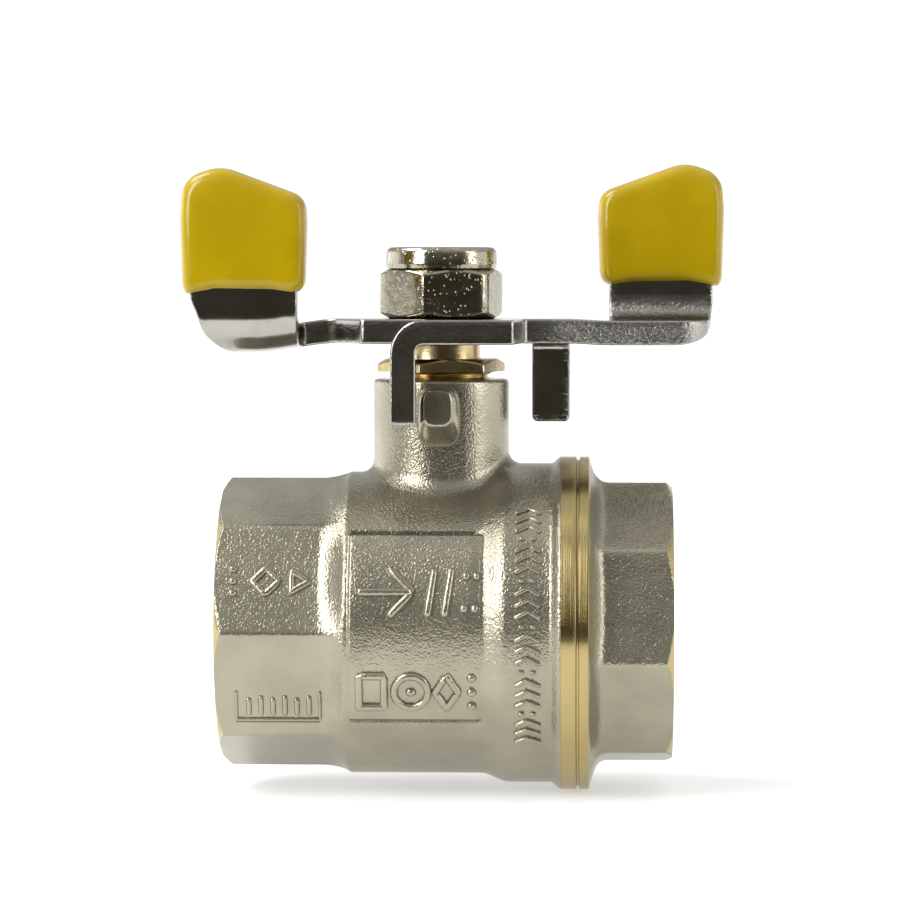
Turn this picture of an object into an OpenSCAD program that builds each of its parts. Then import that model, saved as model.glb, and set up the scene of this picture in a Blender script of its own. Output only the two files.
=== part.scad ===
// Gas ball valve, DN20, with female G 3/4 threads at both ends and a butterfly lever. Millimetres.
// The origin is the centre of the ball. +X runs along the pipe to the outlet, +Z up the stem, and -Y is
// the front. The lever lies along the pipe, which is the open position, and a quarter turn clockwise,
// seen from above, closes the valve.

/* [Pipe ends] */
// Distance from the stem's axis to the inlet face
inlet_reach = 25; // [24.6:0.1:26]
// Distance from the stem's axis to the outlet face
outlet_reach = 26.6; // [26.2:0.1:28]
// Width across the flats of each octagonal end
end_flats = 31; // [30.6:0.1:31.4]
// Bore at the crests of the female pipe threads
thread_bore_d = 24.12; // [24.1:0.01:24.3]
// Depth of the inlet thread from its face
inlet_thread_depth = 12.5; // [11:0.5:12.5]
// Depth of the outlet thread from its face
outlet_thread_depth = 13; // [11:0.5:13]
// Angle by which the connector's front flat is turned upwards
connector_turn = 11; // [0:1:44]

/* [Body] */
// Diameter of the barrel round the ball
barrel_d = 34.8; // [34.4:0.1:35.4]
// Diameter of the wider barrel round the connector's thread
collar_d = 36.8; // [36.4:0.1:37.4]
// Diameter of the turned bands where the body and the connector meet
band_d = 38.4; // [38:0.1:39]
// Distance from the stem's axis to the joint between the body and the connector
joint_x = 15.9; // [15.7:0.1:16.1]
// Diameter of the neck round the stem
neck_d = 15.6; // [15.2:0.1:16.4]
// Height of the neck's top above the pipe's axis
neck_top = 28.15; // [28:0.05:28.6]
// Width of the stop lug on the front of the neck
lug_w = 4.7; // [4:0.1:4.7]
// Distance from the stem's axis to the lug's front
lug_reach = 11.8; // [11:0.1:12]

/* [Ball and seats] */
// Diameter of the ball
ball_d = 27; // [26.6:0.1:27.2]
// Diameter of the flow passage
port_d = 18.5; // [15:0.5:18.5]
// Outer diameter of the two seat rings
seat_d = 26; // [25.6:0.1:26]
// Gap between the ball and each seat
seat_gap = 0.1; // [0.05:0.05:0.2]

/* [Stem and gland] */
// Diameter of the stem
stem_d = 8.9; // [8.6:0.1:8.9]
// Thickness of the tang that turns the ball
tang_t = 5; // [4:0.1:5.2]
// Size of the thread on the stem's top
stem_thread_d = 8; // [7.8:0.1:8]
// Width across the flats where the lever fits on the stem
stem_flats = 6; // [5.5:0.1:6.5]
// Width across the flats of the gland nut and of the lock nut
nut_flats = 13; // [12.8:0.1:13]
// Size of the gland nut's thread
gland_thread_d = 12; // [11.8:0.1:12.2]

/* [Lever] */
// Thickness of the lever's sheet
sheet_t = 2.8; // [2.5:0.1:2.8]
// Height of the lever's underside above the pipe's axis
lever_z = 32.3; // [32.2:0.1:32.6]
// Diameter of the lever's hub
hub_d = 18; // [17:0.1:18.4]
// Half the width of the lever across its wings' roots
arm_half_w = 5.8; // [5.5:0.1:6]
// Distance from the stem's axis to the middle of the left wing
left_wing_x = 22; // [21.5:0.1:23]
// Distance from the stem's axis to the middle of the right wing
right_wing_x = 25.4; // [25:0.1:26]
// Width of each wing
wing_w = 12.1; // [11.6:0.1:12.4]
// Height of each wing's tip above the underside of its root
wing_h = 19.6; // [18:0.1:20]
// Width of the two stop tabs
tab_w = 4.4; // [4:0.1:4.6]
// Height of the stop tabs' ends above the pipe's axis
tab_end_z = 23.1; // [22.5:0.1:24]

/* [Sleeves] */
// Wall of the soft sleeves on the wings
sleeve_wall = 1.3; // [1:0.1:1.4]
// Width of the left sleeve
left_sleeve_w = 14.4; // [14:0.1:14.8]
// Width of the right sleeve
right_sleeve_w = 14.8; // [14.4:0.1:15]
// Height of each sleeve's lower edge above the underside of the wing's root
sleeve_start = 7.1; // [6.5:0.1:8]

/* [Hidden] */
$fn = 96;

nickel = [0.66, 0.64, 0.58];
bare_brass = [0.78, 0.66, 0.38];
plated_steel = [0.45, 0.44, 0.42];
yellow_vinyl = [0.86, 0.76, 0.05];
white_ptfe = [0.93, 0.93, 0.9];
black_nitrile = [0.08, 0.08, 0.08];

running_gap = 0.05;        // radial gap of what turns or slides in a bore
cut = 1;                   // how far a cutting solid runs past the face it opens
octagon_r = end_flats / 2 / cos(180 / 8);
corner_turned_r = end_flats / 2 + 0.15;   // radius to which the octagon's corners are turned at a face
corner_turned_l = 0.8;     // length of that turned chamfer
thread_r = thread_bore_d / 2;
thread_entry = 1.2;        // 45 degree chamfer at the mouth of each pipe thread
seat_back = 11;            // back of the seats' pockets, from the stem's axis
seat_front = 7;            // front of the seats, from the stem's axis
pocket_r = seat_d / 2 + running_gap;
chamber_r = ball_d / 2 + 0.5;
shoulder_x = 7.5;          // end of the ball's chamber and start of the connector's thread
connector_thread_r = 16;   // radius of the thread between the body and the connector
nose_x = 8.2;              // inner end of the connector
joint_groove = 0.25;       // width of the groove between the two turned bands
barrel_start = -10.2;      // where the barrel reaches its full diameter
barrel_end = 4.4;          // where the barrel starts to widen
collar_start = 8;          // where the wider barrel reaches its full diameter
collar_end = 12.9;         // where the wider barrel flares out to the band
band_start = 14;           // where the band reaches its full diameter
band_end = 17.1;           // outer end of the connector's band
flat_start = 18.3;         // where the connector's octagon starts
pad_h = 0.3;               // height of the raised pad on the front of the barrel
pad_angle = 73;            // angle that the pad spans
pad_tilt = 2.6;            // angle of the pad's middle above the front
lug_bottom = 21.5;
lug_top = 27.5;
neck_edge = 0.5;           // chamfer round the neck's top

flange_d = 11.8;           // flange that keeps the stem from being blown out
flange_bore_d = flange_d + 0.4;
washer_z = 15.9;           // underside of the thrust washer
washer_seat_z = 17;        // shoulder in the neck that the washer bears on
packing_z = 21.5;          // bottom of the packing chamber
packing_h = 1.9;           // height of each packing ring
packing_d = 10.9;
gland_end_z = packing_z + 2 * packing_h + 0.05;
gland_head_z = 29;         // underside of the gland nut's head
gland_head_h = 1.5;
gland_turn = 12.5;         // angle of the gland nut's first corner from +X
slot_floor_z = 10.6;       // bottom of the slot in the ball
stem_bore_r = stem_d / 2 + running_gap;
ring_section = 1.12;       // thickness of the stem's O-rings, as squeezed
ring_groove_r = 3.35;
ring_groove_w = 1.4;
ring_z = [18.3, 20.2];     // heights of the O-rings
stem_top = 42.6;

lever_top = lever_z + sheet_t;
left_drop = 1;             // how far the left wing's root lies below the hub
right_drop = 0.2;          // how far the right wing's root lies below the hub
wing_bend = 4.8;           // outer radius of the bend at each wing's root
wing_corner = 5;           // radius of each wing's lower outer corner
wing_slope = 3;            // how far each wing's tip falls towards the stem
wing_face = arm_half_w + wing_bend;       // distance of a wing's outer face from the lever's middle
tip_r = 2.2;               // radius of a wing's upper corners
left_neck_y = 3.4;         // front edge of the narrow part of the left arm
tab_bend_in = 0.9;         // inner radius of the stop tabs' bends
tab_face = 2.4;            // distance of each tab's stop face from the stem's axis when it meets the lug
tab_centre = 12.6;         // distance of each tab's middle from the stem's axis
tab_root = tab_face - tab_bend_in;        // where each tab's bend starts
strip_y = tab_centre + tab_w / 2;         // front edge of the strip that carries the front tab
hub_corner_x = 8.8;        // distance of the hub's square corner from the stem's axis

nut_turn = 16.3;           // angle of the lock nut's first corner from +X
nut_hex_h = 5.8;
nut_h = 8.2;
insert_z = lever_top + 6.2;
insert_h = 1.5;
insert_d = 11;

// Points on a circle round [x, y], from angle a to angle b
function arc(x, y, r, a, b, steps = 8) =
    [for (i = [0:steps]) let (t = a + (b - a) * i / steps) [x + r * cos(t), y + r * sin(t)]];

// A solid turned about the pipe's axis, from a list of [x, radius] points
module turned(points) {
    rotate([0, 90, 0]) rotate_extrude() polygon([for (p = points) [p[1], p[0]]]);
}

// A solid turned about the stem's axis, from a list of [z, radius] points
module turned_upright(points) {
    rotate_extrude() polygon([for (p = points) [p[1], p[0]]]);
}

// A washer about the stem's axis
module washer(z, h, inner_r, outer_r) {
    translate([0, 0, z])
        difference() {
            cylinder(r = outer_r, h = h);
            translate([0, 0, -cut]) cylinder(r = inner_r, h = h + 2 * cut);
        }
}

// A hexagon with the corners of its top chamfered at 30 degrees, and those of its foot if asked
module hexagon(z, h, turn, chamfer_foot = true) {
    face_r = nut_flats / 2 - 0.1;
    corner_r = nut_flats / 2 / cos(30);
    far_r = corner_r + cut;
    rise = (far_r - face_r) * tan(30);
    foot = chamfer_foot ? [[z, face_r], [z + rise, far_r]] : [[z, far_r]];
    intersection() {
        translate([0, 0, z]) rotate(turn) cylinder(r = corner_r, h = h, $fn = 6);
        turned_upright(concat([[z, 0]], foot, [[z + h - rise, far_r], [z + h, face_r], [z + h, 0]]));
    }
}

// An octagonal pipe end from its root to its face, with the corners turned back at the face
module octagon_end(root_x, face_x, turn) {
    side = sign(face_x - root_x);
    far_r = octagon_r + cut;
    intersection() {
        translate([min(root_x, face_x), 0, 0]) rotate([0, 90, 0]) rotate(turn)
            cylinder(r = octagon_r, h = abs(face_x - root_x), $fn = 8);
        turned([
            [root_x - side * cut, 0],
            [root_x - side * cut, far_r],
            [face_x - side * corner_turned_l * (far_r - corner_turned_r) / (octagon_r - corner_turned_r), far_r],
            [face_x, corner_turned_r],
            [face_x, 0]
        ]);
    }
}

// The bump on the neck that both stop tabs meet
module stop_lug() {
    round_r = lug_w / 2;
    translate([0, -neck_d / 4, 0]) rotate([90, 0, 0]) linear_extrude(lug_reach - neck_d / 4)
        polygon(concat([[round_r, lug_top], [-round_r, lug_top]],
                       arc(0, lug_bottom + round_r, round_r, 180, 360)));
}

// The raised pad on the front of the barrel, a part of a ring
module front_pad() {
    rotate([0, 90, 0]) rotate(-90 - pad_tilt - pad_angle / 2) rotate_extrude(angle = pad_angle)
        translate([barrel_d / 2 - cut, barrel_start]) square([cut + pad_h, barrel_end + cut - barrel_start]);
}

module valve_body() {
    body_end = joint_x - joint_groove;
    color(nickel) difference() {
        union() {
            octagon_end(barrel_start - 1, -inlet_reach, 0);
            turned([
                [-13, 0],
                [-12.6, end_flats / 2 - 0.6],
                [barrel_start, barrel_d / 2],
                [barrel_end, barrel_d / 2],
                [collar_start, collar_d / 2],
                [collar_end, collar_d / 2],
                [band_start, band_d / 2],
                [body_end, band_d / 2],
                [body_end, 0]
            ]);
            turned_upright([
                [0, 0],
                [0, neck_d / 2],
                [neck_top - neck_edge, neck_d / 2],
                [neck_top, neck_d / 2 - neck_edge],
                [neck_top, 0]
            ]);
            stop_lug();
            front_pad();
        }
        // inlet thread, port, seat pocket, ball chamber and the connector's thread, on the pipe's axis
        turned([
            [-inlet_reach - cut, 0],
            [-inlet_reach - cut, thread_r + thread_entry + cut],
            [-inlet_reach + thread_entry, thread_r],
            [-inlet_reach + inlet_thread_depth, thread_r],
            [-inlet_reach + inlet_thread_depth, port_d / 2],
            [-seat_back, port_d / 2],
            [-seat_back, pocket_r],
            [-seat_front, pocket_r],
            [-seat_front, chamber_r],
            [shoulder_x, chamber_r],
            [shoulder_x, connector_thread_r],
            [joint_x + cut, connector_thread_r],
            [joint_x + cut, 0]
        ]);
        // flange bore, stem bore, packing chamber and the gland nut's thread, on the stem's axis
        turned_upright([
            [0, 0],
            [0, flange_bore_d / 2],
            [washer_seat_z, flange_bore_d / 2],
            [washer_seat_z, stem_bore_r],
            [packing_z, stem_bore_r],
            [packing_z, packing_d / 2],
            [gland_end_z, packing_d / 2],
            [gland_end_z, gland_thread_d / 2],
            [neck_top + cut, gland_thread_d / 2],
            [neck_top + cut, 0]
        ]);
    }
}

module end_connector() {
    color(nickel) difference() {
        union() {
            octagon_end(band_end, outlet_reach, 180 / 8 - connector_turn);
            turned([
                [nose_x, 0],
                [nose_x, connector_thread_r - running_gap],
                [joint_x, connector_thread_r - running_gap],
                [joint_x, band_d / 2],
                [band_end, band_d / 2],
                [flat_start, end_flats / 2 - 0.3],
                [flat_start, 0]
            ]);
        }
        // seat pocket, port and the outlet thread
        turned([
            [nose_x - cut, 0],
            [nose_x - cut, pocket_r],
            [seat_back, pocket_r],
            [seat_back, port_d / 2],
            [outlet_reach - outlet_thread_depth, port_d / 2],
            [outlet_reach - outlet_thread_depth, thread_r],
            [outlet_reach - thread_entry, thread_r],
            [outlet_reach + cut, thread_r + thread_entry + cut],
            [outlet_reach + cut, 0]
        ]);
    }
}

module connector_seal_ring() {
    inner_r = chamber_r + 0.1;
    outer_r = connector_thread_r - 0.1;
    color(white_ptfe) turned([
        [shoulder_x + running_gap, inner_r],
        [shoulder_x + running_gap, outer_r],
        [nose_x - running_gap, outer_r],
        [nose_x - running_gap, inner_r]
    ]);
}

module ball() {
    slot_w = tang_t + 2 * running_gap;
    color(nickel) difference() {
        sphere(d = ball_d);
        translate([-ball_d, 0, 0]) rotate([0, 90, 0]) cylinder(d = port_d, h = 2 * ball_d);
        translate([-slot_w / 2, -ball_d, slot_floor_z]) cube([slot_w, 2 * ball_d, ball_d]);
    }
}

// A seat ring with a hollow face that fits the ball, on the side of the ball that side gives
module seat_ring(side) {
    color(white_ptfe) difference() {
        turned([
            [side * seat_front, port_d / 2],
            [side * seat_front, seat_d / 2],
            [side * (seat_back - running_gap), seat_d / 2],
            [side * (seat_back - running_gap), port_d / 2]
        ]);
        sphere(r = ball_d / 2 + seat_gap);
    }
}

module seat_ring_inlet() seat_ring(-1);

module seat_ring_outlet() seat_ring(1);

module stem() {
    stem_r = stem_d / 2;
    tang_z = slot_floor_z + 0.15;
    flange_z = 14.3;
    flange_h = washer_z - flange_z - 0.02;
    thread_r = stem_thread_d / 2 - running_gap;
    color(bare_brass) {
        difference() {
            turned_upright([
                [flange_z, 0],
                [flange_z, flange_d / 2],
                [flange_z + flange_h, flange_d / 2],
                [flange_z + flange_h, stem_r],
                [lever_z, stem_r],
                [lever_z, 0]
            ]);
            for (z = ring_z)
                washer(z - ring_groove_w / 2, ring_groove_w, ring_groove_r, stem_r + cut);
        }
        // tang in the ball's slot
        intersection() {
            translate([-tang_t / 2, -flange_d / 2, tang_z]) cube([tang_t, flange_d, flange_z + 0.5 - tang_z]);
            cylinder(d = flange_d - 0.4, h = washer_z);
        }
        // flats that turn with the lever, then the thread for the lock nut
        intersection() {
            translate([0, 0, lever_z - 0.5]) cylinder(d = stem_thread_d, h = sheet_t + 0.4);
            translate([-stem_d, -stem_flats / 2, 0]) cube([2 * stem_d, stem_flats, stem_top]);
        }
        turned_upright([
            [lever_top - 0.2, 0],
            [lever_top - 0.2, stem_flats / 2],
            [lever_top + 0.1, thread_r],
            [stem_top - 0.6, thread_r],
            [stem_top, thread_r - 0.6],
            [stem_top, 0]
        ]);
    }
}

module stem_thrust_washer() {
    color(white_ptfe)
        washer(washer_z, washer_seat_z - washer_z, stem_bore_r + 0.05, flange_bore_d / 2 - running_gap);
}

// A rubber ring in a groove of the stem
module stem_o_ring(z) {
    color(black_nitrile) translate([0, 0, z]) rotate_extrude()
        translate([ring_groove_r + 0.01 + ring_section / 2, 0]) circle(d = ring_section);
}

module stem_o_ring_lower() stem_o_ring(ring_z[0]);

module stem_o_ring_upper() stem_o_ring(ring_z[1]);

// A packing ring, counted from the bottom of its chamber
module packing_ring(place) {
    color(white_ptfe)
        washer(packing_z + place * packing_h, packing_h, stem_d / 2 + 0.02, packing_d / 2 - 0.02);
}

module packing_ring_lower() packing_ring(0);

module packing_ring_upper() packing_ring(1);

module gland_nut() {
    color(bare_brass) difference() {
        union() {
            hexagon(gland_head_z, gland_head_h, gland_turn, chamfer_foot = false);
            translate([0, 0, gland_end_z])
                cylinder(d = gland_thread_d - 2 * running_gap, h = gland_head_z - gland_end_z + 0.2);
        }
        cylinder(r = stem_bore_r, h = lever_z);
    }
}

// The lever's hub and arms seen from above, with the strip that carries the front tab
module lever_outline() {
    left_end = -left_wing_x - wing_w / 2;
    right_end = right_wing_x + wing_w / 2;
    difference() {
        union() {
            circle(d = hub_d);
            translate([left_end, -left_neck_y]) square([-left_end, left_neck_y + arm_half_w]);
            translate([left_end, -arm_half_w]) square([wing_w, 2 * arm_half_w]);
            translate([0, -arm_half_w]) square([right_end, arm_half_w + tab_root]);
            translate([right_end - wing_w, -arm_half_w]) square([wing_w, 2 * arm_half_w]);
            polygon([[-tab_root, 0], [-tab_root, -strip_y], [8.6, -strip_y], [9.7, -arm_half_w], [9.7, 0]]);
            // the hub's square corner at the front
            translate([-hub_corner_x, -hub_d / 2]) square([hub_corner_x, hub_d / 2]);
        }
        // relief between the front tab's strip and the hub
        translate([-tab_root - cut, -strip_y + tab_w]) square([tab_root + cut + 1.5, tab_centre - tab_w / 2 - hub_d / 2]);
    }
}

// The sheet seen from the front: flat at the hub, and a little lower at both wings' roots
module lever_sheet() {
    under = [
        [-left_wing_x - wing_w, lever_z - left_drop],
        [-left_wing_x, lever_z - left_drop],
        [-13, lever_z],
        [right_wing_x - wing_w, lever_z],
        [right_wing_x - wing_w / 2, lever_z - right_drop],
        [right_wing_x + wing_w, lever_z - right_drop]
    ];
    over = [for (i = [len(under) - 1:-1:0]) under[i] + [0, sheet_t]];
    translate([0, 2 * hub_d, 0]) rotate([90, 0, 0]) linear_extrude(4 * hub_d) polygon(concat(under, over));
}

// A wing seen square on, from the underside of its root: its outer side is +X
function wing_face_points() =
    let (half = wing_w / 2, top = wing_h, r = tip_r)
    concat([[-half, 0]],
           arc(half - wing_corner, wing_corner, wing_corner, -90, 0),
           arc(half - r, top - r, r, 0, 90),
           arc(-half + r, top - wing_slope - r, r, 100, 180));

// A wing of the lever, turned up from the edge of the sheet at +Y
module wing(x, drop) {
    translate([x, 0, lever_z - drop]) intersection() {
        union() {
            translate([-wing_w / 2, 0, 0]) cube([wing_w, arm_half_w, sheet_t]);
            translate([-wing_w / 2, arm_half_w, wing_bend]) rotate([0, 90, 0]) rotate_extrude(angle = 90)
                translate([wing_bend - sheet_t, 0]) square([sheet_t, wing_w]);
            translate([-wing_w / 2, wing_face - sheet_t, wing_bend]) cube([wing_w, sheet_t, wing_h - wing_bend]);
        }
        translate([0, 2 * wing_face, 0]) rotate([90, 0, 0]) linear_extrude(2 * wing_face)
            polygon(wing_face_points());
    }
}

// A tab bent down from the sheet, with its root at the origin's height: it runs along +Y
module stop_tab() {
    bend_z = lever_z - tab_bend_in;
    translate([0, 0, bend_z]) rotate([0, 90, 0]) rotate(90) rotate_extrude(angle = 90)
        translate([tab_bend_in, 0]) square([sheet_t, tab_w]);
    translate([0, tab_bend_in, tab_end_z]) cube([tab_w, sheet_t, bend_z - tab_end_z]);
}

module lever() {
    hole_gap = 0.05;
    color(plated_steel) difference() {
        union() {
            intersection() {
                lever_sheet();
                translate([0, 0, lever_z - 5]) linear_extrude(15) lever_outline();
            }
            wing(right_wing_x, right_drop);
            rotate(180) wing(left_wing_x, left_drop);
            translate([tab_centre - tab_w / 2, tab_root, 0]) stop_tab();
            translate([-tab_root, -tab_centre - tab_w / 2, 0]) rotate(90) stop_tab();
        }
        intersection() {
            translate([0, 0, lever_z - cut]) cylinder(d = stem_thread_d + 2 * hole_gap, h = sheet_t + 2 * cut);
            translate([-hub_d / 2, -stem_flats / 2 - hole_gap, 0])
                cube([hub_d, stem_flats + 2 * hole_gap, lever_top + 2 * cut]);
        }
    }
}

// A dipped sleeve on the tip of a wing that stands at +Y
module sleeve(x, drop, width) {
    half = width / 2;
    foot_r = 1.4;
    head_r = 3.4;
    top = wing_h + sleeve_wall;
    translate([x, wing_face + sleeve_wall, lever_z - drop]) rotate([90, 0, 0]) difference() {
        linear_extrude(sheet_t + 2 * sleeve_wall)
            polygon(concat(arc(-half + foot_r, sleeve_start + foot_r, foot_r, 180, 270),
                           arc(half - foot_r, sleeve_start + foot_r, foot_r, 270, 360),
                           arc(half - head_r, top - head_r, head_r, 0, 90),
                           arc(-half + head_r, top - wing_slope - head_r, head_r, 105, 180)));
        translate([0, 0, sleeve_wall]) linear_extrude(sheet_t) polygon(wing_face_points());
    }
}

module sleeve_left() {
    color(yellow_vinyl) rotate(180) sleeve(left_wing_x, left_drop, left_sleeve_w);
}

module sleeve_right() {
    color(yellow_vinyl) sleeve(right_wing_x, right_drop, right_sleeve_w);
}

module lever_nut() {
    collar_r = nut_flats / 2;
    hole_r = stem_thread_d / 2;
    hex_top = lever_top + nut_hex_h;
    nut_top = lever_top + nut_h;
    color(nickel) difference() {
        union() {
            hexagon(lever_top, nut_hex_h, nut_turn);
            turned_upright([
                [hex_top - 0.5, 0],
                [hex_top - 0.5, collar_r - 0.3],
                [nut_top - 1.2, collar_r - 0.3],
                [nut_top, collar_r - 1.3],
                [nut_top, 0]
            ]);
        }
        turned_upright([
            [lever_top - cut, 0],
            [lever_top - cut, hole_r],
            [insert_z - running_gap, hole_r],
            [insert_z - running_gap, insert_d / 2 + running_gap],
            [insert_z + insert_h + running_gap, insert_d / 2 + running_gap],
            [insert_z + insert_h + running_gap, insert_d / 2 - 0.8],
            [nut_top + cut, insert_d / 2 - 0.8],
            [nut_top + cut, 0]
        ]);
    }
}

module lever_nut_insert() {
    color(white_ptfe) washer(insert_z, insert_h, stem_thread_d / 2, insert_d / 2);
}

valve_body();
end_connector();
connector_seal_ring();
ball();
seat_ring_inlet();
seat_ring_outlet();
stem();
stem_thrust_washer();
stem_o_ring_lower();
stem_o_ring_upper();
packing_ring_lower();
packing_ring_upper();
gland_nut();
lever();
sleeve_left();
sleeve_right();
lever_nut();
lever_nut_insert();
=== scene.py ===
"""The looks of a gas ball valve with a butterfly lever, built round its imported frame.

Lengths are millimetres until a mesh is made. +X runs along the pipe to the outlet, +Z up the stem, and -Y
is the front. An angle round the pipe is 0 at the front and 90 degrees at the top.
"""
import math

import bmesh
import bpy
import numpy as np
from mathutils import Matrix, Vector
from mathutils.geometry import delaunay_2d_cdt


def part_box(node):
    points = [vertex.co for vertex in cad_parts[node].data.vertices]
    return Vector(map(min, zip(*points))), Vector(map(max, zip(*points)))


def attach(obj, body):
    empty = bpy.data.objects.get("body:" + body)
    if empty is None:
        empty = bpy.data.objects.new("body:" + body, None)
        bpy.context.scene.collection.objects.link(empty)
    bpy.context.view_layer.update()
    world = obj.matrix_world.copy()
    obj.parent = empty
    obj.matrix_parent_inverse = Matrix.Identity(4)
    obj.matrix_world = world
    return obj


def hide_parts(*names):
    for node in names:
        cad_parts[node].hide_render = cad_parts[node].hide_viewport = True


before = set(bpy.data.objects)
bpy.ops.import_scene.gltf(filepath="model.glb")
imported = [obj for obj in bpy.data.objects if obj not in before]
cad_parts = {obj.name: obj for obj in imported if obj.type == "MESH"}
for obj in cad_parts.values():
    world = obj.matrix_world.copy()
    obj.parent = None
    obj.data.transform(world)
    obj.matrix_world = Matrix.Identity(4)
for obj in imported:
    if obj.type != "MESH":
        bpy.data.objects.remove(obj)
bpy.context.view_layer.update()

MM = 0.001
WELD = 0.002                           # points closer than this become one
SHORTEST_EDGE = 0.0001


# ---------------------------------------------------------------- sizes, from the frame where it has them

def corners(node):
    """A node's lowest and highest corners, in millimetres."""
    low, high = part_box(node)
    return np.array(low) / MM, np.array(high) / MM


body_low, body_high = corners("valve_body")
connector_low, connector_high = corners("end_connector")
gland_low, gland_high = corners("gland_nut")
stem_low, stem_high = corners("stem")
lever_low = corners("lever")[0]
nut_low, nut_high = corners("lever_nut")
insert_low, insert_high = corners("lever_nut_insert")
left_low, left_high = corners("sleeve_left")
right_low, right_high = corners("sleeve_right")

INLET_X = body_low[0]
OUTLET_X = connector_high[0]
BODY_END_X = body_high[0]
CONNECTOR_TURN = 11.0                  # how far the screwed end stopped short of lining up, in degrees
CONNECTOR_EDGE = 0.1                   # bevel on its band's edges
NECK_TOP = body_high[2]
BAND_R = body_high[1]
LUG_FRONT_Y = -11.8
LUG_SQUARENESS = 3.6                   # 2 would make the lug an ellipse, and more squares it

END_FLATS = 31.0
END_EDGE_R = END_FLATS / 2 + 0.15      # radius to which the octagon's corners are turned at a face
END_EDGE_SLOPE = 1.41                  # rise of that turned chamfer, per millimetre along the pipe
BARREL_R = 17.4
COLLAR_R = 18.4
OCTAGON_END_X = -13.5                  # where the inlet's octagon starts to swell into the barrel
BARREL_START_X = -10.1
BARREL_END_X = 4.6
COLLAR_START_X = 7.9
COLLAR_END_X = 12.6
BAND_START_X = 13.9
JOINT_X = 15.9
BAND_END_X = 17.1
BAND_CHAMFER = 0.12
FACE_STEP = 0.04                       # how far behind an end's face the bare metal stops blending
PAD_RISE = 0.3
PAD_EDGE = math.radians(0.9)           # width of the step and of the line at the pad's long edges
PAD_GROOVE = 0.24                      # depth of the line along the pad's edges
PAD_LOW, PAD_HIGH = -33.9, 39.1        # angles of the raised pad's edges
PAD_START_X = -9.95
PAD_END_X = 5.2

PIPE_PITCH = 25.4 / 14
PIPE_MINOR_R = 12.06
PIPE_DEPTH = 1.162
INLET_THREAD_END = -12.5
OUTLET_THREAD_END = 13.6
PORT_R = 9.25
SEAT_BACK = 11.0
SEAT_FRONT = 7.0
POCKET_R = 13.05
CHAMBER_R = 14.0
SHOULDER_X = 7.5
CONNECTOR_THREAD_R = 16.0
NOSE_X = connector_low[0]

NECK_R = 7.8
NECK_FILLET = 1.5
NECK_EDGE = 0.45
GLAND_THREAD_R = 6.0
GLAND_END_Z = gland_low[2]
GLAND_HEAD_Z = 29.0
PACKING_R = 5.45
PACKING_Z = 21.5
STEM_BORE_R = 4.5
WASHER_SEAT_Z = 17.0
FLANGE_BORE_R = 6.1

NUT_FLATS = 13.0
GLAND_TURN = 42.5                      # where a flat of each hexagon faces, in degrees from +X
LOCK_NUT_TURN = 46.3
LOCK_NUT_HEX_H = 5.75
COLLAR_NUT_R = 6.42
NUT_PITCH = 1.25
STEM_R = 4.45
STEM_THREAD_R = 3.95
TANG_TOP_Z = 14.3
TANG_R = 5.7
FLANGE_R = 5.9
FLANGE_TOP_Z = 15.85
STEM_GROOVES = (18.3, 20.2)            # heights of the two grooves' middles
GROOVE_W = 1.4
GROOVE_R = 3.35
TANG_HALF_W = 2.5
DOUBLE_D_HALF_W = 3.0
LEVER_Z = nut_low[2] - 2.8
SHEET = 2.8


# ---------------------------------------------------------------- shape helpers

def smooth(t):
    """Goes from 0 to 1 as t does, with no slope at either end: 3t^2 - 2t^3."""
    t = np.clip(t, 0, 1)
    return t * t * (3 - 2 * t)


def soft_min(values, softness):
    """The least of several arrays with its corners rounded: minus softness times the log of the sum of
    exp(-v/softness) over them.
    """
    values = np.array(np.broadcast_arrays(*values))
    least = values.min(axis=0)
    return least - softness * np.log(np.exp((least - values) / softness).sum(axis=0))


def polygon_radius(angle, flats, sides, turn, softness=0.12):
    """Radius at an angle of a polygon that measures flats across, with a flat's middle at turn: half of
    flats over the cosine from the nearest flats, with soft corners. Angles are in radians.
    """
    middles = turn + 2 * math.pi * np.arange(sides) / sides
    walls = [flats / 2 / np.maximum(np.cos(angle - m), 0.3) for m in middles]
    return soft_min(walls, softness)


def polygon_columns(sides, turn, coarse, fine=(0.6, 1.5, 3.0, 5.0)):
    """Angles for the columns of a grid round a polygon: even steps, with more of them near each corner."""
    corner_angles = turn + 2 * math.pi * (np.arange(sides) + 0.5) / sides
    near = np.radians(np.concatenate([-np.array(fine), [0], fine]))
    even = 2 * math.pi * np.arange(coarse) / coarse
    clusters = (corner_angles[:, None] + near).ravel()
    far = np.abs((even[:, None] - corner_angles + math.pi) % (2 * math.pi) - math.pi).min(axis=1)
    return tidy_angles(np.concatenate([even[far > math.radians(6)], clusters]))


def tidy_angles(angles, least=0.002):
    """Sorted angles within one turn, with none closer than least to the one before it."""
    angles = np.sort(np.mod(angles, 2 * math.pi))
    keep = np.diff(angles, prepend=angles[-1] - 2 * math.pi) > least
    return angles[keep]


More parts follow.
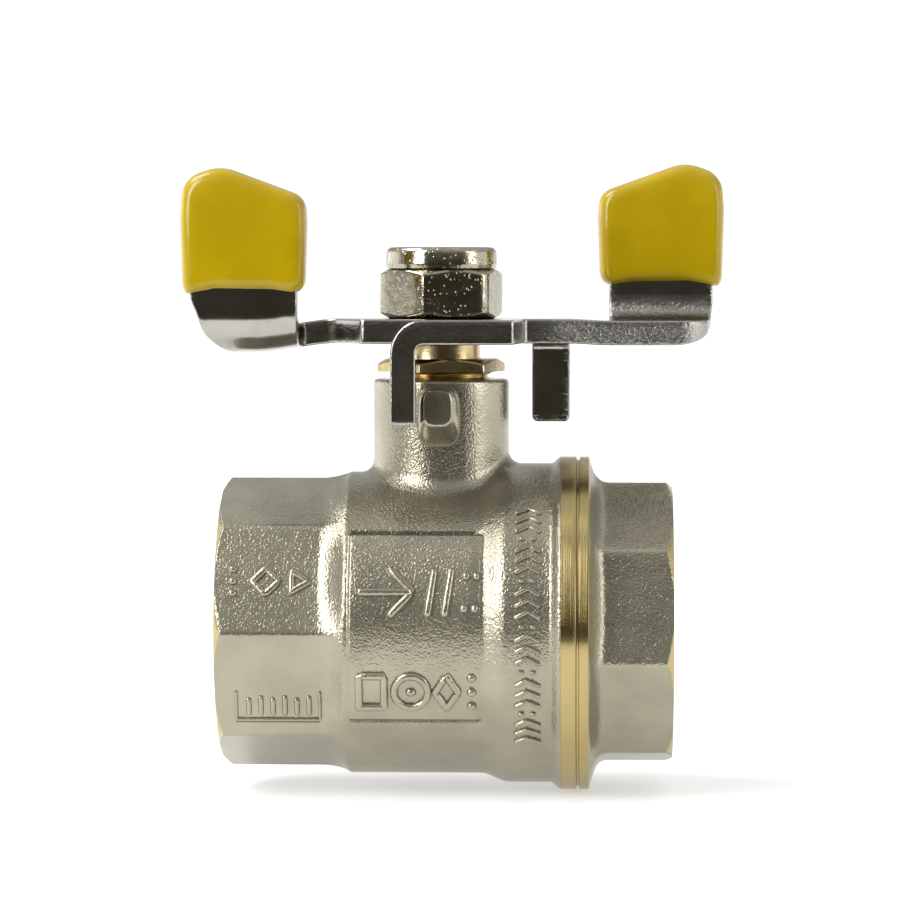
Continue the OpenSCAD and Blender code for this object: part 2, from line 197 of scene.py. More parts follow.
def rounded_path(corners_in, steps=4, closed=False):
    """Points along a path of (x, y, radius) corners, each replaced by an arc that touches both its sides."""
    points = np.array([c[:2] for c in corners_in], float)
    radii = [c[2] if len(c) > 2 else 0 for c in corners_in]
    count = len(points)
    out = []
    for i in range(count):
        here = points[i]
        if radii[i] == 0 or (not closed and i in (0, count - 1)):
            out.append(here)
            continue
        back = points[i - 1] - here
        on = points[(i + 1) % count] - here
        back_l, on_l = np.hypot(*back), np.hypot(*on)
        back, on = back / back_l, on / on_l
        half = math.acos(np.clip(back @ on, -1, 1)) / 2
        reach = min(radii[i] / math.tan(half), 0.49 * back_l, 0.49 * on_l)
        radius = reach * math.tan(half)
        middle = here + (back + on) / np.hypot(*(back + on)) * radius / math.sin(half)
        start = here + back * reach - middle
        end = here + on * reach - middle
        a0 = math.atan2(start[1], start[0])
        turn = (math.atan2(end[1], end[0]) - a0 + math.pi) % (2 * math.pi) - math.pi
        for t in np.linspace(0, 1, steps + 1):
            out.append(middle + radius * np.array([math.cos(a0 + turn * t), math.sin(a0 + turn * t)]))
    return np.array(out)


def thread_wave(phase):
    """A rounded 55 degree thread, 0 at its crest and 1 at its root, once for each whole phase: a triangle
    wave with softened tips.
    """
    ramp = np.abs(2 * (phase - np.floor(phase)) - 1)
    return smooth(0.5 + (ramp - 0.5) * 0.88) * 0.45 + np.clip(0.5 + (ramp - 0.5) * 1.15, 0, 1) * 0.55


class Skin:
    """Gathers grids of points, in millimetres, into one mesh."""

    def __init__(self):
        self.points, self.faces, self.layers = [], [], {}
        self.count = 0

    def add(self, points, layers):
        """Adds points with the values of their named layers, and gives the number of the first."""
        start = self.count
        self.points.append(points)
        self.count += len(points)
        for name in set(self.layers) | set(layers):
            rows = self.layers.setdefault(name, [np.zeros(start)])
            rows.append(np.broadcast_to(np.asarray(layers.get(name, 0.0), float).ravel(), (len(points),)))
        return start

    def grid(self, p, wrap_u=False, wrap_v=False, skip=None, **layers):
        """A grid of points, shape (u, v, 3), as four-sided faces, less those that the mask skip picks."""
        nu, nv = p.shape[:2]
        layers = {k: np.broadcast_to(v, (nu, nv)) for k, v in layers.items()}
        start = self.add(p.reshape(-1, 3), layers)
        index = start + np.arange(nu * nv).reshape(nu, nv)
        u = np.arange(nu if wrap_u else nu - 1)
        v = np.arange(nv if wrap_v else nv - 1)
        a = index[np.ix_(u, v)]
        b = index[np.ix_((u + 1) % nu, v)]
        c = index[np.ix_((u + 1) % nu, (v + 1) % nv)]
        d = index[np.ix_(u, (v + 1) % nv)]
        quads = np.stack([a, b, c, d], axis=-1)
        quads = quads[~skip] if skip is not None else quads.reshape(-1, 4)
        self.faces.append(quads)
        return index

    def fan(self, ring, centre, **layers):
        """Closes a ring of vertex numbers with triangles to one centre point."""
        middle = self.add(np.array([centre], float), layers)
        self.faces.append(np.stack([ring, np.roll(ring, -1), np.full(len(ring), middle)], axis=-1))

    def tube(self, p, **layers):
        """A grid that is round in v, closed with a fan at each end of u."""
        index = self.grid(p, wrap_v=True, **layers)
        for end in (0, -1):
            self.fan(index[end], p[end].mean(axis=0), **layers)

    def piece(self, name, finish, sharp=38.0):
        """Makes the object: welds doubles, turns faces outwards, keeps edges over sharp degrees crisp."""
        mesh = bpy.data.meshes.new(name)
        faces = [tuple(f) for block in self.faces for f in block.tolist()]
        mesh.from_pydata(np.concatenate(self.points) * MM, [], faces)
        for layer, rows in self.layers.items():
            data = mesh.attributes.new(layer, "FLOAT", "POINT")
            data.data.foreach_set("value", np.concatenate(rows).astype(np.float32))
        work = bmesh.new()
        work.from_mesh(mesh)
        bmesh.ops.remove_doubles(work, verts=work.verts, dist=WELD * MM)
        bmesh.ops.dissolve_degenerate(work, edges=work.edges, dist=SHORTEST_EDGE * MM)
        bmesh.ops.recalc_face_normals(work, faces=work.faces)
        work.to_mesh(mesh)
        work.free()
        mesh.polygons.foreach_set("use_smooth", np.ones(len(mesh.polygons), bool))
        mesh.set_sharp_from_angle(angle=math.radians(sharp))
        mesh.materials.append(finish)
        made = bpy.data.objects.new(name, mesh)
        bpy.context.scene.collection.objects.link(made)
        return made


def round_pipe(x, r, angle):
    """Points round the pipe's axis: r goes to (x, -r cos(angle), r sin(angle))."""
    x, r, angle = np.broadcast_arrays(x, r, angle)
    return np.stack([x, -r * np.cos(angle), r * np.sin(angle)], axis=-1)


def round_stem(r, angle, z):
    """Points round the stem's axis, with the angle counted from +X."""
    r, angle, z = np.broadcast_arrays(r, angle, z)
    return np.stack([r * np.cos(angle), r * np.sin(angle), z], axis=-1)


# ---------------------------------------------------------------- finishes

class Wire:
    """A node's output, with the arithmetic that the finishes are written in."""

    def __init__(self, finish, socket):
        self.finish, self.socket = finish, socket

    def math(self, operation, *others):
        """A Math node on this value and others."""
        return self.finish.node("ShaderNodeMath", {"operation": operation}, self, *others)

    def __add__(self, other):
        return self.math("ADD", other)

    def __sub__(self, other):
        return self.math("SUBTRACT", other)

    def __mul__(self, other):
        return self.math("MULTIPLY", other)

    def __rsub__(self, other):
        return self.finish.node("ShaderNodeMath", {"operation": "SUBTRACT"}, other, self)

    __radd__ = __add__
    __rmul__ = __mul__

    def step(self, low, high):
        """0 below low and 1 above high, smooth between."""
        smooth_range = {"interpolation_type": "SMOOTHSTEP"}
        return self.finish.node("ShaderNodeMapRange", smooth_range, self, low, high, 0.0, 1.0)


class Nodes:
    """A node tree. node() makes any node."""

    def __init__(self, tree):
        self.tree = tree

    def node(self, kind, settings=None, *values, out=0, **named):
        """Adds a node: its settings first, then values or wires for its sockets, in order or by name."""
        made = self.tree.nodes.new(kind)
        for key, value in (settings or {}).items():
            setattr(made, key, value)
        for socket, value in zip(made.inputs, values):
            self.put(socket, value)
        for key, value in named.items():
            self.put(made.inputs[key.replace("_", " ")], value)
        return Wire(self, made.outputs[out])

    def put(self, socket, value):
        """Links a wire to a socket, or sets its value."""
        if isinstance(value, Wire):
            self.tree.links.new(value.socket, socket)
        elif value is not None:
            socket.default_value = value

    def mix(self, factor, a, b):
        """A colour between a and b; the sockets in between are for other kinds of value."""
        return self.node("ShaderNodeMix", {"data_type": "RGBA"}, factor, *[None] * 5, a, b, out=2)


class Finish(Nodes):
    """One material. The named arguments are fixed values of its shader."""

    def __init__(self, name, **fixed):
        self.material = bpy.data.materials.new(name)
        self.material.use_nodes = True
        super().__init__(self.material.node_tree)
        self.shader = self.tree.nodes["Principled BSDF"]
        self.place = self.node("ShaderNodeTexCoord", out="Object")
        for key, value in fixed.items():
            self.shader.inputs[key.replace("_", " ")].default_value = value

    def noise(self, size, detail=2.0, rough=0.5):
        """Cloudy noise from 0 to 1 with features of about size millimetres."""
        return self.node("ShaderNodeTexNoise", Vector=self.place, Scale=1 / (size * MM), Detail=detail,
                         Roughness=rough)

    def turning(self, axis, size):
        """Fine lines about size millimetres wide, square to one axis, as a lathe leaves them."""
        along = self.axis(axis) * (1 / (size * MM))
        return self.node("ShaderNodeTexNoise", {"noise_dimensions": "1D"}, W=along, Detail=2.0)

    def cells(self, size):
        """Distance to the nearest of scattered points about size millimetres apart."""
        return self.node("ShaderNodeTexVoronoi", Vector=self.place, Scale=1 / (size * MM))

    def axis(self, name):
        """One of the three coordinates, in metres."""
        return self.node("ShaderNodeSeparateXYZ", None, self.place, out="XYZ".index(name))

    def attribute(self, name):
        """A number that the mesh holds at each point."""
        return self.node("ShaderNodeAttribute", {"attribute_name": name}, out=2)

    def bump(self, height, strength, distance):
        """A normal tilted by a height from 0 to 1 that stands for distance millimetres."""
        return self.node("ShaderNodeBump", Strength=strength, Distance=distance * MM, Height=height)

    def feed(self, **wires):
        """Links wires to the shader's sockets, and returns the material."""
        for key, wire in wires.items():
            self.put(self.shader.inputs[key.replace("_", " ")], wire)
        return self.material


def grey(level, tint=(1, 1, 1)):
    """A colour of one level, tinted."""
    return (level * tint[0], level * tint[1], level * tint[2], 1)


NICKEL_TINT = (1.0, 0.93, 0.70)
ZINC_TINT = (1.0, 0.97, 0.90)
NUT_TINT = (1.0, 0.92, 0.70)
BRASS_DARK = (0.34, 0.26, 0.10, 1)
BRASS_LIGHT = (0.52, 0.43, 0.21, 1)


def forged_body_finish():
    """Nickel plating over a shot-blasted forging, with turned bare brass where the attribute bare is 1.
    The attribute calm makes the forging smoother. A third attribute darkens the colour as painted shade: it
    is 1 in the groove round the pad and in a thin line under the tray mark.
    """
    f = Finish("forged_nickel_and_brass")
    bare = f.attribute("bare")
    cloud = f.noise(5.0, 3.0)
    grain = f.noise(0.24, 2.0, 0.5)
    blast = f.cells(0.33)
    coarse = f.noise(1.2, 2.0)
    nickel = f.mix(cloud.step(0.3, 0.7), grey(0.31, NICKEL_TINT), grey(0.36, NICKEL_TINT))
    # painted shade: the colour darkens nearly to black in the pad's edge groove and under the tray mark
    nickel = f.mix(f.attribute("crease") * 0.75, nickel, grey(0.07, NICKEL_TINT))
    lines = f.turning("X", 0.11)
    brass = f.mix(lines.step(0.3, 0.7), BRASS_DARK, BRASS_LIGHT)
    rough = (0.15 + cloud * 0.10) * (1 - bare) + (0.11 + lines * 0.12) * bare
    forged = (1 - bare) * (1 - f.attribute("calm") * 0.85)
    height = (grain * 0.36 + blast * 0.12 + coarse * 0.26) * forged + lines * 0.06 * bare
    return f.feed(Base_Color=f.mix(bare, nickel, brass), Metallic=0.85 + bare * 0.15, Roughness=rough,
                  Normal=f.bump(height, 1.0, 0.20))


def turned_brass_finish():
    """Bare brass, turned on a lathe round the stem."""
    f = Finish("turned_brass", Metallic=1.0)
    lines = f.turning("Z", 0.13)
    cloud = f.noise(1.6, 2.0)
    colour = f.mix(cloud.step(0.3, 0.75), (0.46, 0.36, 0.18, 1), (0.62, 0.53, 0.32, 1))
    return f.feed(Base_Color=colour, Roughness=0.11 + lines * 0.12, Normal=f.bump(lines, 0.3, 0.02))


def sheet_steel_finish():
    """Bright zinc on pressed sheet; the attribute edge is 1 on the torn part of the sheared edges."""
    f = Finish("plated_sheet", Metallic=1.0)
    edge = f.attribute("edge")
    tears = f.noise(0.40, 3.0, 0.6)
    waves = f.noise(2.2, 2.0)
    colour = f.mix(f.noise(3.0, 3.0).step(0.3, 0.7), grey(0.31, ZINC_TINT), grey(0.38, ZINC_TINT))
    rough = 0.09 + waves * 0.07 + edge * (tears * 0.25)
    height = tears * (0.03 + edge * 0.97) + waves * 0.16
    return f.feed(Base_Color=colour, Roughness=rough, Normal=f.bump(height, 0.7, 0.22))


def plated_nut_finish():
    """Bright plating on a cold-formed nut."""
    f = Finish("plated_nut", Metallic=1.0)
    wear = f.noise(1.1, 3.0)
    pits = f.cells(0.50).step(0.02, 0.30)
    colour = f.mix(wear.step(0.35, 0.7), grey(0.31, NUT_TINT), grey(0.40, NUT_TINT))
    return f.feed(Base_Color=colour, Roughness=0.08 + wear * 0.08,
                  Normal=f.bump(wear * 0.5 + pits * 0.8, 0.7, 0.09))


def vinyl_finish():
    """Dipped yellow vinyl: glossy, with slow waves from the dipping."""
    f = Finish("yellow_vinyl", Specular_IOR_Level=0.4)
    waves = f.noise(5.0, 2.0)
    peel = f.noise(0.7, 2.0)
    colour = f.mix(waves.step(0.3, 0.75), (0.375, 0.256, 0.0012, 1), (0.42, 0.293, 0.0016, 1))
    return f.feed(Base_Color=colour, Roughness=0.17 + peel * 0.07,
                  Normal=f.bump(waves * 0.8 + peel * 0.1, 0.35, 0.25))


def plain_finish(name, low, high, roughness, metallic=0.0, size=1.5):
    """A finish for the small inner parts: two close colours in clouds, and a fine bump."""
    f = Finish(name, Metallic=metallic)
    cloud = f.noise(size, 3.0)
    return f.feed(Base_Color=f.mix(cloud.step(0.3, 0.7), low, high), Roughness=roughness + cloud * 0.08,
                  Normal=f.bump(cloud, 0.15, 0.03))


forged_body = forged_body_finish()
turned_brass = turned_brass_finish()
sheet_steel = sheet_steel_finish()
plated_nut = plated_nut_finish()
vinyl = vinyl_finish()
ptfe = plain_finish("white_ptfe", (0.80, 0.80, 0.78, 1), (0.88, 0.88, 0.86, 1), 0.42)
nylon = plain_finish("nylon", (0.55, 0.60, 0.62, 1), (0.66, 0.70, 0.71, 1), 0.4)
rubber = plain_finish("nitrile", grey(0.015), grey(0.03), 0.55)
chrome = plain_finish("chromed_ball", (0.66, 0.66, 0.67, 1), grey(0.72), 0.06, metallic=1.0, size=8)


# ---------------------------------------------------------------- valve body

def octagon(angle, turn):
    """Radius of an octagonal end, with a flat's middle at turn, both in radians."""
    return polygon_radius(angle, END_FLATS, 8, turn)


def pad_shape(x, angle):
    """The raised pad on the barrel's front: how much of its rise a place has, and how much of the line
    along its edges, a bell curve on each.
    """
    turned = (angle + math.pi) % (2 * math.pi) - math.pi
    low, high = math.radians(PAD_LOW), math.radians(PAD_HIGH)
    across = smooth((turned - low) / PAD_EDGE) * smooth((high - turned) / PAD_EDGE)
    from_lines = (turned - low + PAD_EDGE, turned - high - PAD_EDGE)
    groove = sum(np.exp(-(gap / PAD_EDGE) ** 2) for gap in from_lines)
    along = smooth((x - PAD_START_X) / 0.4) * smooth((PAD_END_X - x) / 0.6)
    return across * along, groove * along


def body_radius(x, angle):
    """Outer radius of the body: an octagon whose corners are turned back at its face, which swells into
    the barrel, then the collar and the turned band. The front of the barrel has a raised pad.
    """
    inlet = soft_min([octagon(angle, math.pi / 8), END_EDGE_R + (x - INLET_X) * END_EDGE_SLOPE], 0.03)
    barrel = BARREL_R + (COLLAR_R - BARREL_R) * smooth((x - BARREL_END_X) / (COLLAR_START_X - BARREL_END_X))
    barrel = barrel + (BAND_R - COLLAR_R) * smooth((x - COLLAR_END_X) / (BAND_START_X - COLLAR_END_X))
    run = np.clip((x - OCTAGON_END_X) / (BARREL_START_X - OCTAGON_END_X), 0, 1.3)
    swell = np.clip(soft_min([1.15 * run ** 1.7, 1.0], 0.02), 0, 1)
    r = inlet + (barrel - inlet) * swell
    rise, groove = pad_shape(x, angle)
    return r + PAD_RISE * rise - PAD_GROOVE * groove


def face_mask(x, angle, turn, face_x):
    """1 where the lathe has cut an octagonal end at its face: the turned cone lies inside the octagon."""
    cone = END_EDGE_R + np.abs(x - face_x) * END_EDGE_SLOPE
    return smooth((octagon(angle, turn) - cone) / 0.08 + 0.3)


def pipe_thread_radius(x, angle, face_x, end_x):
    """Radius of a female pipe thread: its crest radius, plus the depth times the wave of turns along x
    less turns round the pipe, fading at its end and opened by a 45 degree chamfer at its face.
    """
    wave = thread_wave(x / PIPE_PITCH - angle / (2 * math.pi))
    fade = smooth(np.abs(x - end_x) / 1.6)
    mouth = PIPE_MINOR_R + 1.35 - np.abs(x - face_x)
    return np.maximum(PIPE_MINOR_R + PIPE_DEPTH * wave * fade, mouth)


def spread(*stops):
    """Stations along x: evenly spaced between stops, each given as (x, how many steps lead up to it)."""
    out = [stops[0][0]]
    for (a, _), (b, steps) in zip(stops, stops[1:]):
        out += list(a + (b - a) * np.arange(1, steps + 1) / steps)
    return np.array(out)


NECK_HOLE_X = (-9.5, 10.8)             # the part of the barrel that the neck's own patch replaces
NECK_HOLE_ANGLE = (48.0, 132.0)
CHAMBER_HOLE_X = (-6.6, 6.6)

body_columns = tidy_angles(np.concatenate([
    polygon_columns(8, math.pi / 8, 144),
    np.radians(np.array([PAD_LOW, PAD_HIGH])[:, None] + np.arange(-2.7, 2.8, 0.3)).ravel() % (2 * math.pi),
    np.radians(NECK_HOLE_ANGLE),
]), 0.0015)


def ring_cut(values, at):
    """The place in sorted values of the one nearest to at."""
    return int(np.abs(values - at).argmin())


def build_valve_body():
    """One closed skin. A loop of stations runs over the outside, the rim and back through the bores,
    round every column of angles. The neck's patch takes the place of a rectangle of the barrel outside
    and of the chamber inside: rings of points run from the outer rectangle over a fillet, up the neck,
    down its bores and out to the inner one.
    """
    skin = Skin()
    angle = body_columns[None, :]

    outer_x = spread((INLET_X, 0), (INLET_X + FACE_STEP, 1), (INLET_X + 1.0, 8), (OCTAGON_END_X, 8),
                     (BARREL_START_X, 16), (NECK_HOLE_X[0], 6), (BARREL_END_X, 14), (COLLAR_START_X, 12),
                     (NECK_HOLE_X[1], 4), (COLLAR_END_X, 2), (BAND_START_X, 9), (BAND_START_X + 0.03, 1),
                     (BODY_END_X - BAND_CHAMFER, 3), (BODY_END_X, 2))
    outer_r = body_radius(outer_x[:, None], angle)
    outer_r[-2:] -= np.array([[BAND_CHAMFER / 4], [BAND_CHAMFER]])
    bare = face_mask(outer_x[:, None], angle, math.pi / 8, INLET_X)
    past_chamfer = outer_x > INLET_X + 2
    bare[past_chamfer] = (outer_x[past_chamfer, None] > BAND_START_X + 0.01) * 1.0

    i0, i1 = ring_cut(outer_x, NECK_HOLE_X[0]), ring_cut(outer_x, NECK_HOLE_X[1])
    j0, j1 = (ring_cut(body_columns, math.radians(a)) for a in NECK_HOLE_ANGLE)
    chamber_x = np.linspace(CHAMBER_HOLE_X[1], CHAMBER_HOLE_X[0], i1 - i0 + 1)

    bore = np.array([(BODY_END_X, CONNECTOR_THREAD_R + 0.3), (BODY_END_X - 0.3, CONNECTOR_THREAD_R),
                     (SHOULDER_X, CONNECTOR_THREAD_R), (SHOULDER_X, CHAMBER_R)])
    seat = np.array([(-SEAT_FRONT, CHAMBER_R), (-SEAT_FRONT, POCKET_R), (-SEAT_BACK, POCKET_R),
                     (-SEAT_BACK, PORT_R), (INLET_THREAD_END, PORT_R), (INLET_THREAD_END, PIPE_MINOR_R)])
    thread_x = np.linspace(INLET_THREAD_END, INLET_X, 100)[1:]
    thread_r = pipe_thread_radius(thread_x[:, None], angle, INLET_X, INLET_THREAD_END)
    plain_x = np.concatenate([bore[:, 0], chamber_x, seat[:, 0]])
    plain_r = np.concatenate([bore[:, 1], np.full(len(chamber_x), CHAMBER_R), seat[:, 1]])
    width = (len(plain_x), len(body_columns))
    inner_p = np.concatenate([
        round_pipe(plain_x[:, None], np.broadcast_to(plain_r[:, None], width), angle),
        round_pipe(thread_x[:, None], thread_r, angle),
    ])
    loop = np.concatenate([round_pipe(outer_x[:, None], outer_r, angle), inner_p])
    k0 = len(outer_x) + len(bore)
    k1 = k0 + len(chamber_x) - 1
    skip = np.zeros((len(loop), len(body_columns)), bool)
    skip[i0:i1, j0:j1] = True
    skip[k0:k1, j0:j1] = True
    bare_all = np.ones(loop.shape[:2])
    bare_all[1:len(outer_x)] = bare[1:]
    crease, calm = np.zeros(loop.shape[:2]), np.zeros(loop.shape[:2])
    # the groove along the pad's edges gets painted shade: its colour is darkened there
    crease[:len(outer_x)] = pad_shape(outer_x[:, None], angle)[1]
    calm[:len(outer_x)] = 0.25 * (1 - smooth((outer_x[:, None] - OCTAGON_END_X) / 2.5))
    skin.grid(loop, wrap_u=True, wrap_v=True, skip=skip, bare=bare_all, crease=crease, calm=calm)

    def rim(rows, low, high):
        """The four sides of a rectangle of the grid as one ring of points, in order."""
        return np.concatenate([loop[rows[:-1], low], loop[rows[-1], low:high], loop[rows[:0:-1], high],
                               loop[rows[0], high:low:-1]])

    outside = rim(np.arange(i0, i1 + 1), j0, j1)
    inside = rim(np.arange(k1, k0 - 1, -1), j0, j1)
    way = np.arctan2(outside[:, 1], outside[:, 0])
    way_in = np.arctan2(inside[:, 1], inside[:, 0])
    way_in = way + (way_in - way + math.pi) % (2 * math.pi) - math.pi

    def on_body(reach, direction):
        """The height of the body's surface over a point of the plan."""
        x, y = reach * np.cos(direction), reach * np.sin(direction)
        r = body_radius(x, math.pi / 2)
        return np.sqrt(np.maximum(r * r - y * y, 0))

    rings = [outside]
    far = np.hypot(outside[:, 0], outside[:, 1])
    landing = NECK_R + NECK_FILLET
    for t in np.linspace(0, 1, 6)[1:]:
        reach = far + (landing - far) * t
        rings.append(round_stem(reach, way, on_body(reach, way)))
    for a in np.linspace(0, math.pi / 2, 9)[1:]:
        reach = NECK_R + NECK_FILLET * (1 - math.sin(a))
        rise = NECK_FILLET * (1 - math.cos(a))
        rings.append(round_stem(reach, way, on_body(np.full_like(way, reach), way) + rise))
    foot = on_body(np.full_like(way, NECK_R), way) + NECK_FILLET
    for t in np.linspace(0, 1, 8)[1:]:
        rings.append(round_stem(NECK_R, way, foot + (NECK_TOP - NECK_EDGE - foot) * t))
    for a in np.linspace(0, math.pi / 2, 5)[1:]:
        reach = NECK_R - NECK_EDGE * (1 - math.cos(a))
        rings.append(round_stem(reach, way, NECK_TOP - NECK_EDGE * (1 - math.sin(a))))
    plated_rings = len(rings)
    down = [(GLAND_THREAD_R, NECK_TOP), (GLAND_THREAD_R, GLAND_END_Z), (PACKING_R, GLAND_END_Z),
            (PACKING_R, PACKING_Z), (STEM_BORE_R, PACKING_Z), (STEM_BORE_R, WASHER_SEAT_Z),
            (FLANGE_BORE_R, WASHER_SEAT_Z)]
    for n, (reach, z) in enumerate(down):
        direction = way + (way_in - way) * (n + 1) / len(down)
        rings.append(round_stem(reach, direction, np.full_like(way, z)))
    far_in = np.hypot(inside[:, 0], inside[:, 1])
    for t in (0.0, 0.5):
        reach = FLANGE_BORE_R + (far_in - FLANGE_BORE_R) * t
        y = reach * np.sin(way_in)
        rings.append(round_stem(reach, way_in, np.sqrt(CHAMBER_R ** 2 - y * y)))
    rings.append(inside)
    number = np.arange(len(rings))[:, None]
    ring_bare = (number >= plated_rings) * 1.0
    skin.grid(np.array(rings), wrap_v=True, bare=ring_bare, calm=0.35 * smooth((number - 6) / 12))

    build_stop_lug(skin)
    build_forged_marks(skin)
    return skin.piece("body_forging", forged_body)


def build_stop_lug(skin):
    """The stop on the neck's front: a stack of rounded rectangles from inside the neck out to the lug's
    face. Each has its own depth, middle height and half sizes, as a superellipse of power 3.6.
    """
    turn = 2 * math.pi * np.arange(48) / 48
    stack = [(-6.0, 24.1, 2.45, 3.5), (-8.4, 24.1, 2.45, 3.45), (-9.6, 24.3, 2.38, 3.15),
             (-10.6, 24.7, 2.15, 2.7), (-11.3, 25.0, 1.86, 2.3), (-11.62, 25.1, 1.66, 2.1),
             (LUG_FRONT_Y + 0.02, 25.15, 1.5, 1.95), (LUG_FRONT_Y, 25.15, 1.4, 1.85),
             (LUG_FRONT_Y, 25.15, 0.8, 1.1)]
    power = 2 / LUG_SQUARENESS
    across = np.sign(np.cos(turn)) * np.abs(np.cos(turn)) ** power
    up = np.sign(np.sin(turn)) * np.abs(np.sin(turn)) ** power
    p = np.array([np.stack([half_w * across, np.full_like(turn, y), z + half_h * up], axis=-1)
                  for y, z, half_w, half_h in stack])
    skin.tube(p, bare=0.0, calm=0.85)


STROKE_STEP = 0.5                      # most between two cross-sections of a raised line
STROKE_ROOT = 0.12                     # how far its flat underside lies inside the body


def raised_stroke(skin, path, half_w, rise, at, crease=0.0):
    """A raised line on a curved surface. path is (along, up) points; each cross-section is a half
    ellipse, and the line narrows to nothing at both ends as a half circle does. at(along, up, height)
    gives the place.
    """
    path = np.array(path, float)
    steps = np.hypot(*np.diff(path, axis=0).T)
    run = np.concatenate([[0], np.cumsum(steps)])
    total = run[-1]
    caps = half_w * (1 - np.cos(np.linspace(0, math.pi / 2, 5)))
    even = np.linspace(0, total, max(3, int(total / STROKE_STEP)))
    s = np.unique(np.round(np.concatenate([caps - half_w, even, run[1:-1], total + half_w - caps]), 4))
    inside = np.clip(s, 0, total)
    along = np.interp(inside, run, path[:, 0])
    up = np.interp(inside, run, path[:, 1])
    bin_at = np.clip(np.searchsorted(run, inside, side="right") - 1, 0, len(steps) - 1)
    way = (np.diff(path, axis=0) / steps[:, None])[bin_at]
    along = along + way[:, 0] * (s - inside)
    up = up + way[:, 1] * (s - inside)
    narrow = np.sqrt(np.clip(1 - (np.maximum(-s, s - total).clip(0) / half_w) ** 2, 0.004, 1))
    v = np.linspace(0, math.pi, 9)
    side = np.concatenate([np.cos(v), [-0.9, 0.9]])
    lift = np.concatenate([rise * np.sin(v) ** 0.8, [-STROKE_ROOT, -STROKE_ROOT]])
    a = along[:, None] - way[:, 1:] * side * half_w * narrow[:, None]
    b = up[:, None] + way[:, :1] * side * half_w * narrow[:, None]
    h = np.where(lift > 0, lift * narrow[:, None], lift)
    # the last argument, above 0, darkens the whole line's colour as painted shade
    skin.tube(at(a, b, h), bare=0.0, calm=0.5, crease=crease)


def arc_path(along, up, radius, start, end, steps=12):
    """Points of an arc, with its angles in degrees."""
    a = np.radians(np.linspace(start, end, steps + 1))
    return [(along + radius * math.cos(t), up + radius * math.sin(t)) for t in a]


def build_forged_marks(skin):
    """Plain raised marks on the body: a flow arrow, bars, dots and simple shapes, none of them a letter."""
    def on_barrel(along, up, height):
        """up is measured round the surface of the barrel."""
        angle = up / BARREL_R
        return round_pipe(along, body_radius(along, angle) + height, angle)

    def on_collar(along, up, height):
        """The same on the collar."""
        angle = up / COLLAR_R
        return round_pipe(along, body_radius(along, angle) + height, angle)

    def on_flat(middle):
        """up is measured straight along a flat of the octagon whose middle is at that angle."""
        def place(along, up, height):
            along, up, height = np.broadcast_arrays(along, up, height)
            out = END_FLATS / 2 + height
            c, s = math.cos(middle), math.sin(middle)
            return np.stack([along, -(out * c - up * s), out * s + up * c], axis=-1)
        return place

    wide, tall = 0.46, 0.54            # half the width of a line on the pad, and its height
    # upper row on the pad: a flow arrow, two slanted bars and four dots
    for path in ([(-8.4, 4.8), (-3.1, 4.8)], [(-5.0, 7.2), (-2.6, 4.8), (-5.0, 2.4)],
                 [(-0.9, 2.5), (-0.2, 7.1)], [(1.0, 2.5), (1.7, 7.1)],
                 [(3.3, 6.6), (3.4, 6.6)], [(4.5, 6.6), (4.6, 6.6)],
                 [(3.1, 3.0), (3.2, 3.0)], [(4.3, 3.0), (4.4, 3.0)]):
        raised_stroke(skin, path, wide, tall, on_barrel)
    # lower row: a square, a ring with a dot, a diamond and three dots
    for path in ([(-8.6, -8.3), (-8.6, -4.5), (-5.8, -4.5), (-5.8, -8.3), (-8.6, -8.3)],
                 arc_path(-2.8, -6.4, 1.9, 0, 360, 24), [(-2.95, -6.4), (-2.65, -6.4)],
                 [(1.2, -8.4), (2.5, -6.4), (1.2, -4.4), (-0.1, -6.4), (1.2, -8.4)],
                 [(3.9, -8.1), (4.1, -8.1)], [(3.9, -6.4), (4.1, -6.4)], [(3.9, -4.7), (4.1, -4.7)]):
        raised_stroke(skin, path, wide, tall, on_barrel)
    # down the collar: chevrons that point round it, with a pair of dots after every three
    for n, up in enumerate(np.linspace(15.2, -13.0, 23)):
        pair = [[(-0.75, 0), (-0.55, 0)], [(0.55, 0), (0.75, 0)]]
        for path in pair if n % 4 == 3 else [[(-1.25, -0.25), (0, 0.4), (1.25, -0.25)]]:
            raised_stroke(skin, [(10.2 + a, up + b) for a, b in path], 0.27, 0.38, on_collar)
    # the inlet's upper flat: a column of dots, a diamond, a triangle; its lower flat: a tray with bars in it
    upper, lower = on_flat(math.pi / 8), on_flat(-math.pi / 8)
    for path in ([(-23.0, -1.6), (-22.8, -1.6)], [(-23.0, -0.2), (-22.8, -0.2)], [(-23.0, 1.2), (-22.8, 1.2)],
                 [(-20.7, -0.2), (-19.2, 1.3), (-17.7, -0.2), (-19.2, -1.7), (-20.7, -0.2)],
                 [(-16.3, -1.4), (-16.3, 1.0), (-14.3, -0.2), (-16.3, -1.4)]):
        raised_stroke(skin, path, 0.40, 0.48, upper)
    raised_stroke(skin, [(-22.6, -0.9), (-22.6, -4.3), (-13.2, -4.3), (-13.2, -0.9)], 0.20, 0.30, lower)
    # a nearly flat dark line just under the tray's lower edge: painted shadow of the raised line
    raised_stroke(skin, [(-22.6, -4.62), (-13.2, -4.62)], 0.13, 0.02, lower, crease=1.0)
    for n, along in enumerate(np.linspace(-21.2, -14.4, 6)):
        raised_stroke(skin, [(along, -3.5), (along, -1.9 + 0.3 * (n % 2))], 0.32, 0.36, lower)


